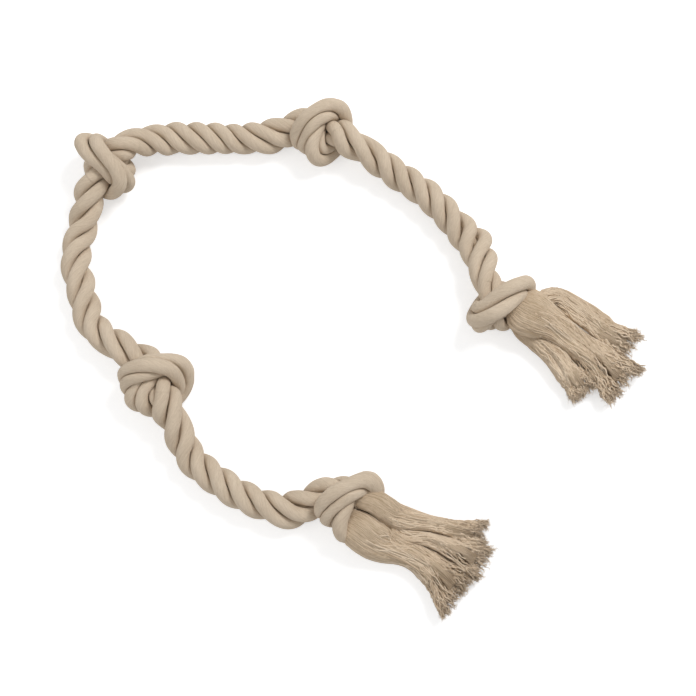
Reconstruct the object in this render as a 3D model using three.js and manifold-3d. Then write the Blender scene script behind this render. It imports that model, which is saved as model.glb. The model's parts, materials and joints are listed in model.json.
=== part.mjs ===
// A rope dog toy, in millimetres, lying on the plane z = 0, with +Z up.
// One cotton rope of three strands, laid right-handed, is tied in five overhand knots, a to e.
// Its two ends are unlaid into tassels of three bundles of yarn, one bundle for each strand.
// Each strand is a solid of its own in every knot and in every half of a free span.
import * as THREE from "three";
import Module from "manifold-3d";
import { mergeVertices } from "three/addons/utils/BufferGeometryUtils.js";

const wasm = await Module();
wasm.setup();

// The rope
const ROPE_DIAMETER = 22;
const STRAND_DIAMETER = 10.2;
const LAID_STRAND_DIAMETER = 9.3; // across the faces with which it presses on the other strands
const LAY_LENGTH = 50.4; // along the rope, for one turn of a strand
const STRAND_GAP = 0.9; // between the solids of two strands that press on each other
const STRANDS = 3;
const FLOOR_GAP = 0.5; // under the free spans and the tassels
const PLAN_GRID = 10; // of the squares in which the rope's route on the table is given

// The knots
const KNOT_ROPE_DIAMETER = 14.6; // the rope where a knot squeezes it
const KNOT_STRAND_DIAMETER = 7.6; // a strand's, where a knot squeezes it from all sides
const KNOT_LAY_LENGTH = 200; // the lay opens where the rope is bent hard
const KNOT_HALF_LENGTH = 25; // from a knot's middle to its face, where a free span starts
const KNOT_BODY_SHARE = 1.3; // of the rope's diameter, from a knot's middle to the ends of its body
const KNOT_LENGTH_SHARE = 0.8; // of the length that the same knot has under a hard pull
const KNOT_BULGE_SHARE = 1.05; // of the width that it has under a hard pull
const KNOT_HEIGHT_SHARE = 0.88; // of its own height, when it lies on the table
const SQUEEZE_EDGE_SHARE = 0.25; // of the rope's diameter, over which a knot's squeeze fades
const PULL_MARGIN_SHARE = 1.2; // of the rope's diameter, that a knot's pull takes in past its faces
const PACKED_REACH = 21; // from a knot's middle to the ends of its lump
const PACKED_FADE = 26; // past the lump, over which the rope takes its own length up again
const KNOT_SOLID_DIAMETER = 10.4; // a strand's in a knot, where nothing squeezes it
const FOOT_DEPTH = 1; // cut flat under each knot, a tenth of a strand
const LIFT_FADE = 45; // of the free spans' length, over which they come down to the table

// The joints
const JOINT_GAP = 0.5;
const SPAN_SWING_ANGLE = 25; // degrees to each side, at the middle of a free span
const SPAN_LIFT_ANGLE = 15; // degrees up and down, at a knot's face
const BUNDLE_SWING_ANGLE = 25; // degrees, at the root of a tassel's outer bundle
const BUNDLE_LIFT_ANGLE = 30; // degrees, at the root of a tassel's middle bundle

// The tassels
const BUNDLE_WIDTH = 24;
const BUNDLE_HEIGHT = 15;
const BUNDLE_GAP = 1.4; // between two bundles of a tassel
const SPREAD_SHARE = 0.4; // of a bundle's length, over which it grows to its full height

// The solids
const SPAN_RING_STEP = 6;
const KNOT_RING_STEP = 5.6;
const BUNDLE_RING_STEP = 4.5;
const LINE_STEP = 2.5; // between points along the rope's middle
const PULL_STEP = 3.2; // between points along a strand while the knots are pulled
const SIDE_REACH = 20; // of a cutting block, to each side of the rope's middle
const TABLE_SIDE = 600; // of the block that cuts the knots flat where they stand
const OVERRUN = 9; // of a strand past its cut, before it is cut
const STRAND_SIDES = 6;
const BUNDLE_SIDES = 10;

const ROPE_MATERIAL = { color: 0xbdac97, roughness: 0.95, metalness: 0 };
const YARN_MATERIAL = { color: 0xb29d84, roughness: 1, metalness: 0 };

// Each knot's place on the table, in squares of the plan's grid, and how it lies, in degrees.
// Heading is the way that the rope's own line goes through it, and roll turns it about that line.
// Phase turns the three strands in it round the rope.
// Its lump is packed to a share of its length, and bulges to a share of its width.
const KNOTS = [
  { name: "a", at: [0.2, -10.9], heading: 145, roll: 150, phase: 90, lengthShare: 0.7, bulgeShare: 1.14 },
  { name: "b", at: [-13.4, -2.6], heading: 126, roll: 150, phase: 60, lengthShare: 0.74, bulgeShare: 1.12 },
  { name: "c", at: [-17.3, 13.3], heading: 82, roll: 88, phase: 90, lengthShare: 0.86, bulgeShare: 1.12 },
  { name: "d", at: [-1.8, 16], heading: -30, roll: 30, phase: 90, lengthShare: 0.64, bulgeShare: 1.12 },
  { name: "e", at: [10.7, 2.9], heading: -18, roll: 88, phase: 90, lengthShare: 0.76, bulgeShare: 1.18 },
];
// The middle of the rope on the table, from one knot to the next, in squares, chosen by hand.
const SPANS = [
  { name: "ab", route: [[-4.8, -11.06], [-7, -10.42], [-9.1, -9.12], [-10.9, -7.56]] },
  { name: "bc", route: [[-17.8, 1.4], [-18.84, 4.21], [-19.36, 6.34], [-19.05, 8.7]] },
  { name: "cd", route: [[-13.5, 15.88], [-11.39, 15.83], [-9.36, 15.68], [-7.32, 15.6]] },
  { name: "de", route: [[3.6, 12.77], [5.46, 11.48], [7.01, 9.9], [8.33, 8.04]] },
];
// The tassels. Stub is the way that the rope points where it ends. The bundles go from the left of that way
// to its right, and each grows out of a strand, counted the same way at the knot's face. Routes are in
// squares, and a bundle's width is given at even steps from its root to its end.
const TASSELS = [
  {
    name: "a",
    stub: [[3.3, -12.4], [5.4, -13.4]],
    bundles: [
      {
        strand: 2,
        route: [[3.55, -12], [5.7, -12.2], [7.6, -12.65], [9.3, -13]],
        widthShares: [0.6, 0.85, 0.85, 0.65, 0.5, 0.6, 0.7],
      },
      {
        strand: 1,
        route: [[3.6, -12.9], [5.7, -13.3], [7.7, -14.2], [9.4, -15]],
        widthShares: [0.4, 0.4, 0.45, 0.5, 0.6, 0.75, 0.85],
      },
      {
        strand: 3,
        route: [[2.4, -13.5], [4.2, -14.1], [5.8, -15.2], [7.7, -16.8]],
        widthShares: [0.7, 1.2, 1.15, 0.85, 0.9, 1.1, 1.4],
      },
    ],
  },
  {
    name: "e",
    stub: [[13.6, 2.3], [15.5, 0.8]],
    bundles: [
      {
        strand: 1,
        route: [[14.6, 3.7], [16.4, 2.6], [18.3, 1.1], [20.2, -0.1]],
        widthShares: [0.4, 0.5, 0.6, 0.65, 0.7, 0.85, 0.95],
      },
      {
        strand: 3,
        route: [[14, 2.1], [15.6, 0.8], [17.6, -0.9], [19.5, -2.7]],
        widthShares: [0.7, 1.1, 1.05, 0.85, 0.9, 1.05, 1.3],
      },
      {
        strand: 2,
        route: [[13.2, 1], [14.3, -0.25], [15.4, -1.7], [16.5, -3.2]],
        widthShares: [0.4, 0.5, 0.55, 0.6, 0.65, 0.6, 0.5],
      },
    ],
  },
];

const radians = (degrees) => THREE.MathUtils.degToRad(degrees);
const minus = (p, q) => [p[0] - q[0], p[1] - q[1], p[2] - q[2]];
const dot = (p, q) => p[0] * q[0] + p[1] * q[1] + p[2] * q[2];
const cross = (p, q) => [p[1] * q[2] - p[2] * q[1], p[2] * q[0] - p[0] * q[2], p[0] * q[1] - p[1] * q[0]];
const size = (p) => Math.hypot(p[0], p[1], p[2]);
const unit = (p) => p.map((c) => c / size(p));
const along = (p, way, length) => [0, 1, 2].map((k) => p[k] + way[k] * length);
const mix = (p, q, share) => p.map((c, k) => c + (q[k] - c) * share);
const UP = [0, 0, 1];
const onPlan = (square, height) => [square[0] * PLAN_GRID, square[1] * PLAN_GRID, height];

// The same line with its points at equal steps. Whatever follows a point's x, y and z is carried along.
function evenly(points, step) {
  const reached = [0];
  points.slice(1).forEach((p, i) => reached.push(reached[i] + size(minus(p, points[i]))));
  const length = reached[reached.length - 1];
  const count = Math.max(2, Math.round(length / step));
  const out = [];
  let k = 0;
  for (let i = 0; i <= count; i += 1) {
    const want = (length * i) / count;
    while (k < points.length - 2 && reached[k + 1] < want) k += 1;
    out.push(mix(points[k], points[k + 1], (want - reached[k]) / (reached[k + 1] - reached[k] || 1)));
  }
  return out;
}

// One step of a pull: each point goes part of the way to the middle of its two neighbours.
function shorten(chain, ease) {
  const was = chain.points.map((p) => p.slice());
  for (let i = chain.held; i < was.length - chain.held; i += 1) {
    for (let k = 0; k < 3; k += 1) {
      chain.points[i][k] += ease * (0.5 * (was[i - 1][k] + was[i + 1][k]) - was[i][k]);
    }
  }
}

// Pushes apart the passes that are nearer than their radii, and opens bends that are too sharp.
function separate(chains, pull) {
  const ownReachShare = 1.6;
  const pushShare = 1.3;
  const crowdShare = 0.6;
  const points = [];
  const owner = [];
  const place = [];
  const free = [];
  chains.forEach((chain, c) =>
    chain.points.forEach((p, i) => {
      points.push(p);
      owner.push(c);
      place.push(i);
      free.push(i >= chain.held && i < chain.points.length - chain.held);
    }),
  );
  const radius = points.map(pull.radius);
  const push = points.map(() => [0, 0, 0]);
  const hits = points.map(() => 0);
  for (let i = 0; i < points.length; i += 1) {
    for (let j = i + 1; j < points.length; j += 1) {
      let want = radius[i] + radius[j];
      if (owner[i] === owner[j]) {
        const apart = place[j] - place[i];
        const bend = pull.step / (4 * pull.bendShare * radius[i]);
        if (apart === 2) want = 2 * pull.step * Math.sqrt(Math.max(0, 1 - bend * bend));
        else if (apart * pull.step < ownReachShare * want) continue;
      }
      const x = points[j][0] - points[i][0];
      if (x > want || x < -want) continue;
      const y = points[j][1] - points[i][1];
      if (y > want || y < -want) continue;
      const z = points[j][2] - points[i][2];
      const distance = Math.sqrt(x * x + y * y + z * z);
      if (distance >= want || distance === 0) continue;
      const half = (want - distance) / (2 * distance);
      push[i][0] -= x * half;
      push[i][1] -= y * half;
      push[i][2] -= z * half;
      push[j][0] += x * half;
      push[j][1] += y * half;
      push[j][2] += z * half;
      hits[i] += 1;
      hits[j] += 1;
    }
  }
  points.forEach((p, i) => {
    if (!free[i] || !hits[i]) return;
    const share = pushShare / Math.max(1, crowdShare * hits[i]);
    for (let k = 0; k < 3; k += 1) p[k] += push[i][k] * share;
  });
}

// Puts a chain's points back at equal steps, but leaves the held ones at its two ends.
function respace(chain, step) {
  const { points, held } = chain;
  const last = points.length - held;
  chain.points = [
    ...points.slice(0, held - 1),
    ...evenly(points.slice(held - 1, last + 1), step),
    ...points.slice(last + 1),
  ];
}

// Pulls the chains as tight as they go without any two passes running into each other.
function tighten(chains, pull) {
  for (let round = 1; round <= pull.rounds; round += 1) {
    chains.forEach((chain) => shorten(chain, pull.ease));
    for (let n = 0; n < pull.pushes; n += 1) separate(chains, pull);
    if (round % pull.respaceEvery === 0) chains.forEach((chain) => respace(chain, pull.step));
  }
  return chains;
}

// The middle of the rope in an overhand knot that lies along X, pulled tight and then let go.
function overhandKnot() {
  const d = KNOT_ROPE_DIAMETER;
  const seedPoints = 120;
  const seedShare = 0.8;
  const tallShare = 0.8;
  const seedEnd = 2.05;
  const leadShare = 6;
  const loose = [[-leadShare * d, 0, 0]];
  for (let i = 0; i <= seedPoints; i += 1) {
    const t = seedEnd * ((2 * i) / seedPoints - 1);
    const shape = [t ** 3 - 3 * t, tallShare * (t ** 4 - 4 * t ** 2 + 2), (t ** 5 - 10 * t) / 9];
    loose.push(shape.map((c) => c * seedShare * d));
  }
  loose.push([leadShare * d, 0, 0]);
  const step = 0.3 * d;
  const chain = { points: evenly(loose, step), held: 1 };
  const radius = () => d / 2;
  const rounds = 400;
  tighten([chain], { step, radius, rounds, ease: 0.35, pushes: 4, bendShare: 0.6, respaceEvery: 1 });
  const fadeShare = 1.2;
  return chain.points.map(([x, y, z]) => {
    const out = Math.max(0, Math.abs(x) / d - KNOT_BODY_SHARE);
    const bulge = KNOT_BULGE_SHARE + (1 - KNOT_BULGE_SHARE) * Math.min(1, out / fadeShare);
    const length = (Math.min(Math.abs(x) / d, KNOT_BODY_SHARE) * KNOT_LENGTH_SHARE + out) * d;
    return [Math.sign(x) * length, y * bulge, z * bulge];
  });
}

// The part of the knot's line that is in its lump, turned to its place on the table.
function layKnot(shape, knot) {
  const edge = KNOT_BODY_SHARE * KNOT_LENGTH_SHARE * KNOT_ROPE_DIAMETER;
  const first = shape.findIndex((p) => p[0] > -edge);
  const last = shape.length - [...shape].reverse().findIndex((p) => p[0] < edge);
  const lump = shape.slice(first, last);
  const middle = [0, 1, 2].map((k) => lump.reduce((sum, p) => sum + p[k], 0) / lump.length);
  const way = [Math.cos(radians(knot.heading)), Math.sin(radians(knot.heading)), 0];
  const left = cross(UP, way);
  const c = Math.cos(radians(knot.roll));
  const s = Math.sin(radians(knot.roll));
  const turned = lump.map((p) => {
    const [x, y, z] = minus(p, middle);
    const flat = along(along(onPlan(knot.at, 0), way, x), left, y * c - z * s);
    return [flat[0], flat[1], y * s + z * c];
  });
  const lowest = Math.min(...turned.map((p) => p[2]));
  const height = (KNOT_ROPE_DIAMETER + KNOT_STRAND_DIAMETER + STRAND_DIAMETER) / 4 - lowest;
  return { way, centre: onPlan(knot.at, height), points: turned.map((p) => along(p, UP, height)) };
}

const spanHeight = ROPE_DIAMETER / 2 + FLOOR_GAP;

// A smooth curve through points.
function curveThrough(points) {
  const control = points.map((p) => new THREE.Vector3(p[0], p[1], p[2]));
  return new THREE.CatmullRomCurve3(control, false, "centripetal");
}

// The whole line of the rope from one tassel to the other, and each knot's stretch of it.
function ropeLine() {
  const shape = overhandKnot();
  const laid = KNOTS.map((knot) => layKnot(shape, knot));
  const stubOf = (tassel) => tassel.stub.map((p) => onPlan(p, spanHeight));
  const control = [...stubOf(TASSELS[0]).reverse()];
  laid.forEach((knot, i) => {
    knot.first = control.length;
    control.push(...knot.points);
    knot.last = control.length - 1;
    if (SPANS[i]) control.push(...SPANS[i].route.map((p) => onPlan(p, spanHeight)));
  });
  control.push(...stubOf(TASSELS[1]));
  const curve = curveThrough(control);
  const fine = [];
  const parts = 8;
  for (let i = 0; i <= (control.length - 1) * parts; i += 1) {
    const share = i / ((control.length - 1) * parts);
    fine.push([...curve.getPoint(share).toArray(), i / parts]);
  }
  const line = evenly(fine, LINE_STEP);
  const length = line.slice(1).reduce((sum, p, i) => sum + size(minus(p, line[i])), 0);
  const step = length / (line.length - 1);
  const knots = laid.map((knot, i) => {
    const inside = (p) => p[3] >= knot.first && p[3] <= knot.last;
    const from = line.findIndex(inside);
    const to = line.findLastIndex(inside);
    const centre = onPlan(KNOTS[i].at, 0);
    const past = (p) => Math.abs(dot(minus(p, centre), knot.way)) >= KNOT_HALF_LENGTH;
    let faceIn = from;
    while (!past(line[faceIn])) faceIn -= 1;
    let faceOut = to;
    while (!past(line[faceOut])) faceOut += 1;
    const places = { middle: ((from + to) / 2) * step, faceIn: faceIn * step, faceOut: faceOut * step };
    return { ...KNOTS[i], way: knot.way, centre: knot.centre, ...places };
  });
  return { points: line.map((p, i) => [p[0], p[1], p[2], i * step]), knots, step };
}

const rope = ropeLine();
const lineAt = (s) => {
  const i = Math.min(rope.points.length - 2, Math.max(0, Math.floor(s / rope.step)));
  return mix(rope.points[i], rope.points[i + 1], s / rope.step - i).slice(0, 3);
};
const wayAt = (s) => unit(minus(lineAt(s + rope.step), lineAt(s - rope.step)));

// How far inside a knot a place on the rope is, from 0 on a free span to 1 in the lump.
function squeeze(s) {
  const edge = SQUEEZE_EDGE_SHARE * ROPE_DIAMETER;
  const inside = rope.knots.map((knot) => {
    const half = (knot.faceOut - knot.faceIn) / 2;
    return 1 / (1 + Math.exp((Math.abs(s - knot.middle) - half + ROPE_DIAMETER) / edge));
  });
  return Math.max(...inside);
}

// The angles that the first strand has turned through along the rope. The spans meet each knot's phase.
function layAngles() {
  const turn = 2 * Math.PI;
  const angles = [];
  let angle = 0;
  rope.points.forEach((p) => {
    const inside = squeeze(p[3]);
    angle += rope.step * turn * ((1 - inside) / LAY_LENGTH + inside / KNOT_LAY_LENGTH);
    angles.push(angle);
  });
  const third = turn / STRANDS;
  const wanted = rope.knots.map((knot) => {
    const off = radians(knot.phase) - angles[Math.round(knot.middle / rope.step)];
    return off - third * Math.round(off / third);
  });
  return angles.map((a, i) => {
    const s = rope.points[i][3];
    const n = rope.knots.findIndex((knot) => s < knot.faceOut);
    if (n < 0) return a + wanted[wanted.length - 1];
    if (n === 0) return a + wanted[0];
    const share = THREE.MathUtils.smoothstep(s, rope.knots[n - 1].faceOut, rope.knots[n].faceIn);
    return a + THREE.MathUtils.lerp(wanted[n - 1], wanted[n], share);
  });
}

// The middles of the three strands, wound round the rope's line.
function layStrands() {
  const turn = 2 * Math.PI;
  const angles = layAngles();
  const layRadius = (ROPE_DIAMETER - STRAND_DIAMETER) / 2;
  const strands = Array.from({ length: STRANDS }, () => []);
  let side = UP;
  rope.points.forEach((p, i) => {
    const way = wayAt(p[3]);
    side = unit(minus(side, way.map((c) => c * dot(side, way))));
    const other = cross(way, side);
    const inside = squeeze(p[3]);
    const knotLayRadius = KNOT_STRAND_DIAMETER / Math.sqrt(3);
    const radius = layRadius + inside * (knotLayRadius - layRadius);
    strands.forEach((strand, k) => {
      const a = angles[i] + (turn * k) / STRANDS;
      const place = along(along(p, side, radius * Math.cos(a)), other, radius * Math.sin(a));
      strand.push([...place, p[3]]);
    });
  });
  return strands.map((strand) => evenly(strand, PULL_STEP));
}

// In each knot the strands are pulled tight once more, each for itself, so that they lie beside each other.
function settleStrands(strands) {
  const margin = PULL_MARGIN_SHARE * ROPE_DIAMETER;
  const lerp = THREE.MathUtils.lerp;
  const pull = {
    step: PULL_STEP,
    radius: (p) => lerp(LAID_STRAND_DIAMETER, KNOT_STRAND_DIAMETER, squeeze(p[3])) / 2,
    rounds: 90,
    ease: 0.12,
    pushes: 5,
    bendShare: 0.75,
    respaceEvery: 6,
  };
  rope.knots.forEach((knot) => {
    const window = strands.map((strand) => {
      const from = strand.findIndex((p) => p[3] > knot.faceIn - margin);
      const to = strand.findIndex((p) => p[3] > knot.faceOut + margin);
      return [from < 0 ? 0 : from, to < 0 ? strand.length : to];
    });
    const chains = strands.map((strand, k) => ({ points: strand.slice(...window[k]), held: 4 }));
    tighten(chains, pull);
    strands.forEach((strand, k) => {
      const [from, to] = window[k];
      strand.splice(from, to - from, ...chains[k].points);
    });
  });
}

// Packs each knot's lump along its line and from above, which makes it wider.
// The spans beside it make up for the length.
function packKnots(strands) {
  rope.knots.forEach((knot) => {
    const margin = 2 * PACKED_FADE;
    const middle = knot.centre;
    const left = cross(UP, knot.way);
    const pack = (p) => {
      if (p[3] < knot.faceIn - margin || p[3] > knot.faceOut + margin) return;
      const d = minus(p, middle);
      const x = dot(d, knot.way);
      const fade = THREE.MathUtils.smoothstep(Math.abs(x), PACKED_REACH, PACKED_REACH + PACKED_FADE);
      const stretch = knot.lengthShare + (1 - knot.lengthShare) * fade;
      const bulge = knot.bulgeShare + (1 - knot.bulgeShare) * fade;
      const height = KNOT_HEIGHT_SHARE + (1 - KNOT_HEIGHT_SHARE) * fade;
      const packed = along(along(middle, knot.way, x * stretch), left, dot(d, left) * bulge);
      p.splice(0, 3, packed[0], packed[1], middle[2] + d[2] * height);
    };
    strands.flat().forEach(pack);
    rope.points.forEach(pack);
  });
}

// Lets each knot down on the table, with the spans beside it following.
function restOnTable(strands) {
  rope.knots.forEach((knot) => {
    const inKnot = (p) => p[3] > knot.faceIn && p[3] < knot.faceOut;
    const lowest = Math.min(...strands.flat().filter(inKnot).map((p) => p[2]));
    const drop = KNOT_SOLID_DIAMETER / 2 - FOOT_DEPTH - lowest;
    const lower = (p) => {
      const outside = Math.max(0, knot.faceIn - p[3], p[3] - knot.faceOut);
      const share = Math.min(1, outside / LIFT_FADE);
      p[2] += drop * (1 - share * share * (3 - 2 * share));
    };
    strands.flat().forEach(lower);
    rope.points.forEach(lower);
  });
}

const strands = layStrands();
settleStrands(strands);
packKnots(strands);
restOnTable(strands);
const passes = strands.map((strand) => evenly(strand, PULL_STEP / 2));

// A tassel's bundles: each one grows out of its strand at the end knot's face, and widens over the table.
function bundleLines(tassel) {
  const first = tassel === TASSELS[0];
  const knot = rope.knots[first ? 0 : rope.knots.length - 1];
  const face = first ? knot.faceIn : knot.faceOut;
  const sign = first ? -1 : 1;
  const point = lineAt(face);
  const way = unit([wayAt(face)[0] * sign, wayAt(face)[1] * sign, 0]);
  const left = cross(UP, way);
  const roots = passes.map((pass, k) => {
    const near = pass.filter((p) => Math.abs(p[3] - face) < OVERRUN);
    if (sign < 0) near.reverse();
    const inside = near.filter((p) => dot(minus(p, point), way) < OVERRUN / 2);
    const end = inside[inside.length - 1];
    return { k, inside, side: dot(minus(end, point), left) };
  });
  roots.sort((p, q) => q.side - p.side);
  return tassel.bundles.map(({ strand, route, widthShares }, n) => {
    const { k, inside } = roots[strand - 1];
    const height = FLOOR_GAP + BUNDLE_HEIGHT / 2;
    const fromStrand = inside.filter((_, i) => i % 2 === 0);
    const control = [...fromStrand, ...route.map((p) => onPlan(p, height))];
    const parts = 6;
    const curve = curveThrough(control).getPoints(control.length * parts);
    const line = evenly(curve.map((p) => p.toArray()), PULL_STEP / 2);
    const seat = line.reduce((best, p) => {
      const off = (q) => Math.abs(dot(minus(q, point), way));
      return off(p) < off(best) ? p : best;
    }, line[0]);
    const root = along(seat, way, -dot(minus(seat, point), way));
    return { k, n, line, root, way, face, sign, widthShares };
  });
}

const bundles = TASSELS.map(bundleLines);

// How far a solid reaches from its middle p along u: at most full, and half of the way to any other pass.
function reach(p, u, full, near, gap) {
  let out = full;
  for (const q of near) {
    const d = minus(q, p);
    const forward = dot(d, u);
    if (forward <= 0) continue;
    const distance = size(d);
    out = Math.min(out, (distance * distance - gap * distance) / (2 * forward));
  }
  return out;
}

// A closed tube through rings of points.
function loft(rings) {
  const sides = rings[0].length;
  const position = rings.flat(2);
  const index = [];
  for (let i = 0; i + 1 < rings.length; i += 1) {
    for (let k = 0; k < sides; k += 1) {
      const a = i * sides + k;
      const b = i * sides + ((k + 1) % sides);
      index.push(a, b, b + sides, a, b + sides, a + sides);
    }
  }
  [rings[0], rings[rings.length - 1]].forEach((ring, end) => {
    const start = end ? (rings.length - 1) * sides : 0;
    const middle = [0, 1, 2].map((k) => ring.reduce((sum, p) => sum + p[k], 0) / sides);
    const centre = position.length / 3;
    position.push(...middle);
    for (let k = 0; k < sides; k += 1) {
      const a = start + k;
      const b = start + ((k + 1) % sides);
      index.push(...(end ? [a, b, centre] : [b, a, centre]));
    }
  });
  const geometry = new THREE.BufferGeometry();
  geometry.setAttribute("position", new THREE.Float32BufferAttribute(position, 3));
  geometry.setIndex(index);
  return geometry;
}

// The point of a strand's middle at a place on the rope, and the stretch of it between two places.
function placeOn(pass, s) {
  const found = pass.findIndex((p) => p[3] > s);
  const i = found < 0 ? pass.length - 1 : Math.max(1, found);
  return mix(pass[i - 1], pass[i], (s - pass[i - 1][3]) / (pass[i][3] - pass[i - 1][3]));
}
function stretchOf(pass, from, to) {
  return [placeOn(pass, from), ...pass.filter((p) => p[3] > from && p[3] < to), placeOn(pass, to)];
}

// A strand's solid between two places on the rope, as round as its neighbours let it be.
function strandTube(k, from, to, ringStep) {
  const pass = passes[k];
  const middle = evenly(stretchOf(pass, from, to), ringStep);
  const otherBundles = bundles.flat().filter((bundle) => bundle.k !== k);
  const others = passes.filter((other) => other !== pass).flat();
  others.push(...otherBundles.flatMap(({ line }) => line));
  const apartShare = 1.2;
  const apart = apartShare * STRAND_DIAMETER;
  const seen = 2 * STRAND_DIAMETER;
  let side = UP;
  const rings = middle.map((p) => {
    const way = unit(minus(placeOn(pass, p[3] + PULL_STEP), placeOn(pass, p[3] - PULL_STEP)));
    side = unit(minus(side, way.map((c) => c * dot(side, way))));
    const other = cross(way, side);
    const ownPasses = pass.filter((q) => Math.abs(q[3] - p[3]) >= apart);
    const near = [...others, ...ownPasses].filter((q) => size(minus(q, p)) < seen);
    const full = THREE.MathUtils.lerp(STRAND_DIAMETER, KNOT_SOLID_DIAMETER, squeeze(p[3])) / 2;
    return Array.from({ length: STRAND_SIDES }, (_, n) => {
      const a = (2 * Math.PI * n) / STRAND_SIDES;
      const u = along(side.map((c) => c * Math.cos(a)), other, Math.sin(a));
      return along(p, u, reach(p, u, full, near, STRAND_GAP));
    });
  });
  return loft(rings);
}

function solidOf(geometry) {
  const bare = geometry.clone();
  bare.deleteAttribute("normal");
  bare.deleteAttribute("uv");
  const merged = mergeVertices(bare);
  const vertProperties = merged.attributes.position.array;
  const triVerts = new Uint32Array(merged.index.array);
  return new wasm.Manifold(new wasm.Mesh({ numProp: 3, vertProperties, triVerts }));
}

function geometryOf(solid) {
  const mesh = solid.getMesh();
  const geometry = new THREE.BufferGeometry();
  geometry.setAttribute("position", new THREE.BufferAttribute(mesh.vertProperties, 3));
  geometry.setIndex(new THREE.BufferAttribute(mesh.triVerts, 1));
  geometry.computeVertexNormals();
  return geometry;
}

// A block that takes away what lies past a plane through a point, near the rope.
function blockPast(point, normal) {
  const box = new THREE.BoxGeometry(2 * SIDE_REACH, 2 * SIDE_REACH, 2 * SIDE_REACH);
  const from = new THREE.Vector3(...UP);
  box.applyQuaternion(new THREE.Quaternion().setFromUnitVectors(from, new THREE.Vector3(...normal)));
  box.translate(...along(point, normal, SIDE_REACH));
  return solidOf(box);
}

// Cuts a solid at a joint, once for each angle: a pair of angles leaves a roof with room to turn both ways.
function cutAt(solid, joint, normal, angles) {
  const seat = along(joint.point, normal, -JOINT_GAP / 2);
  const axis = new THREE.Vector3(...joint.axis);
  return angles.reduce((left, angle) => {
    const tilted = new THREE.Vector3(...normal).applyAxisAngle(axis, radians(angle));
    return left.subtract(blockPast(seat, tilted.toArray()));
  }, solid);
}

const toy = new THREE.Group();
const ropeMaterial = new THREE.MeshStandardMaterial(ROPE_MATERIAL);
const yarnMaterial = new THREE.MeshStandardMaterial(YARN_MATERIAL);

// A block that takes away what lies under a height above the table.
function blockUnder(height) {
  const box = new THREE.BoxGeometry(TABLE_SIDE, TABLE_SIDE, SIDE_REACH);
  box.translate(0, 0, height - SIDE_REACH / 2);
  return solidOf(box);
}
const table = blockUnder(0);
const overTable = blockUnder(FLOOR_GAP);
function addNode(name, solid, material, block) {
  const mesh = new THREE.Mesh(geometryOf(solid.subtract(block)), material);
  mesh.name = name;
  toy.add(mesh);
}

// The joints: at a knot's face the span beyond it lifts, and at its middle the span swings to the side.
const rootKnot = 2;
function spanJoints(i) {
  const outward = i >= rootKnot;
  const near = outward ? rope.knots[i].faceOut : rope.knots[i + 1].faceIn;
  const far = outward ? rope.knots[i + 1].faceIn : rope.knots[i].faceOut;
  const sign = outward ? 1 : -1;
  const heading = (s) => unit([wayAt(s)[0] * sign, wayAt(s)[1] * sign, 0]);
  const middle = (near + far) / 2;
  return {
    sign,
    far,
    lift: { s: near, point: lineAt(near), way: heading(near), axis: cross(heading(near), UP) },
    swing: { s: middle, point: lineAt(middle), way: heading(middle), axis: UP },
  };
}
const joints = SPANS.map((_, i) => spanJoints(i));

// The strands of the free spans, in a near and a far half.
SPANS.forEach((span, i) => {
  const { sign, far, lift, swing } = joints[i];
  const between = (a, b) => [Math.min(a, b), Math.max(a, b)];
  const back = (way) => way.map((c) => -c);
  for (let k = 0; k < STRANDS; k += 1) {
    const nearEnds = between(lift.s - sign * OVERRUN, swing.s + sign * OVERRUN);
    let near = solidOf(strandTube(k, ...nearEnds, SPAN_RING_STEP));
    near = cutAt(near, lift, back(lift.way), [SPAN_LIFT_ANGLE, -SPAN_LIFT_ANGLE]);
    near = cutAt(near, swing, swing.way, [SPAN_SWING_ANGLE / 2, -SPAN_SWING_ANGLE / 2]);
    addNode(`span_${span.name}_near_strand_${k + 1}`, near, ropeMaterial, overTable);
    const farEnds = between(swing.s - sign * OVERRUN, far - (sign * JOINT_GAP) / 2);
    let other = solidOf(strandTube(k, ...farEnds, SPAN_RING_STEP));
    other = cutAt(other, swing, back(swing.way), [SPAN_SWING_ANGLE / 2, -SPAN_SWING_ANGLE / 2]);
    addNode(`span_${span.name}_far_strand_${k + 1}`, other, ropeMaterial, overTable);
  }
});

// The strands of the knots.
rope.knots.forEach((knot, i) => {
  const faces = [
    { s: knot.faceIn, sign: -1, hinged: i <= rootKnot },
    { s: knot.faceOut, sign: 1, hinged: i >= rootKnot },
  ];
  for (let k = 0; k < STRANDS; k += 1) {
    const ends = faces.map((face) => face.s + face.sign * (face.hinged ? OVERRUN : -JOINT_GAP / 2));
    let solid = solidOf(strandTube(k, ...ends, KNOT_RING_STEP));
    faces.filter((face) => face.hinged).forEach((face) => {
      const way = wayAt(face.s);
      const normal = unit([way[0] * face.sign, way[1] * face.sign, 0]);
      solid = cutAt(solid, { point: lineAt(face.s), axis: UP }, normal, [0]);
    });
    addNode(`knot_${knot.name}_strand_${k + 1}`, solid, ropeMaterial, table);
  }
});

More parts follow.
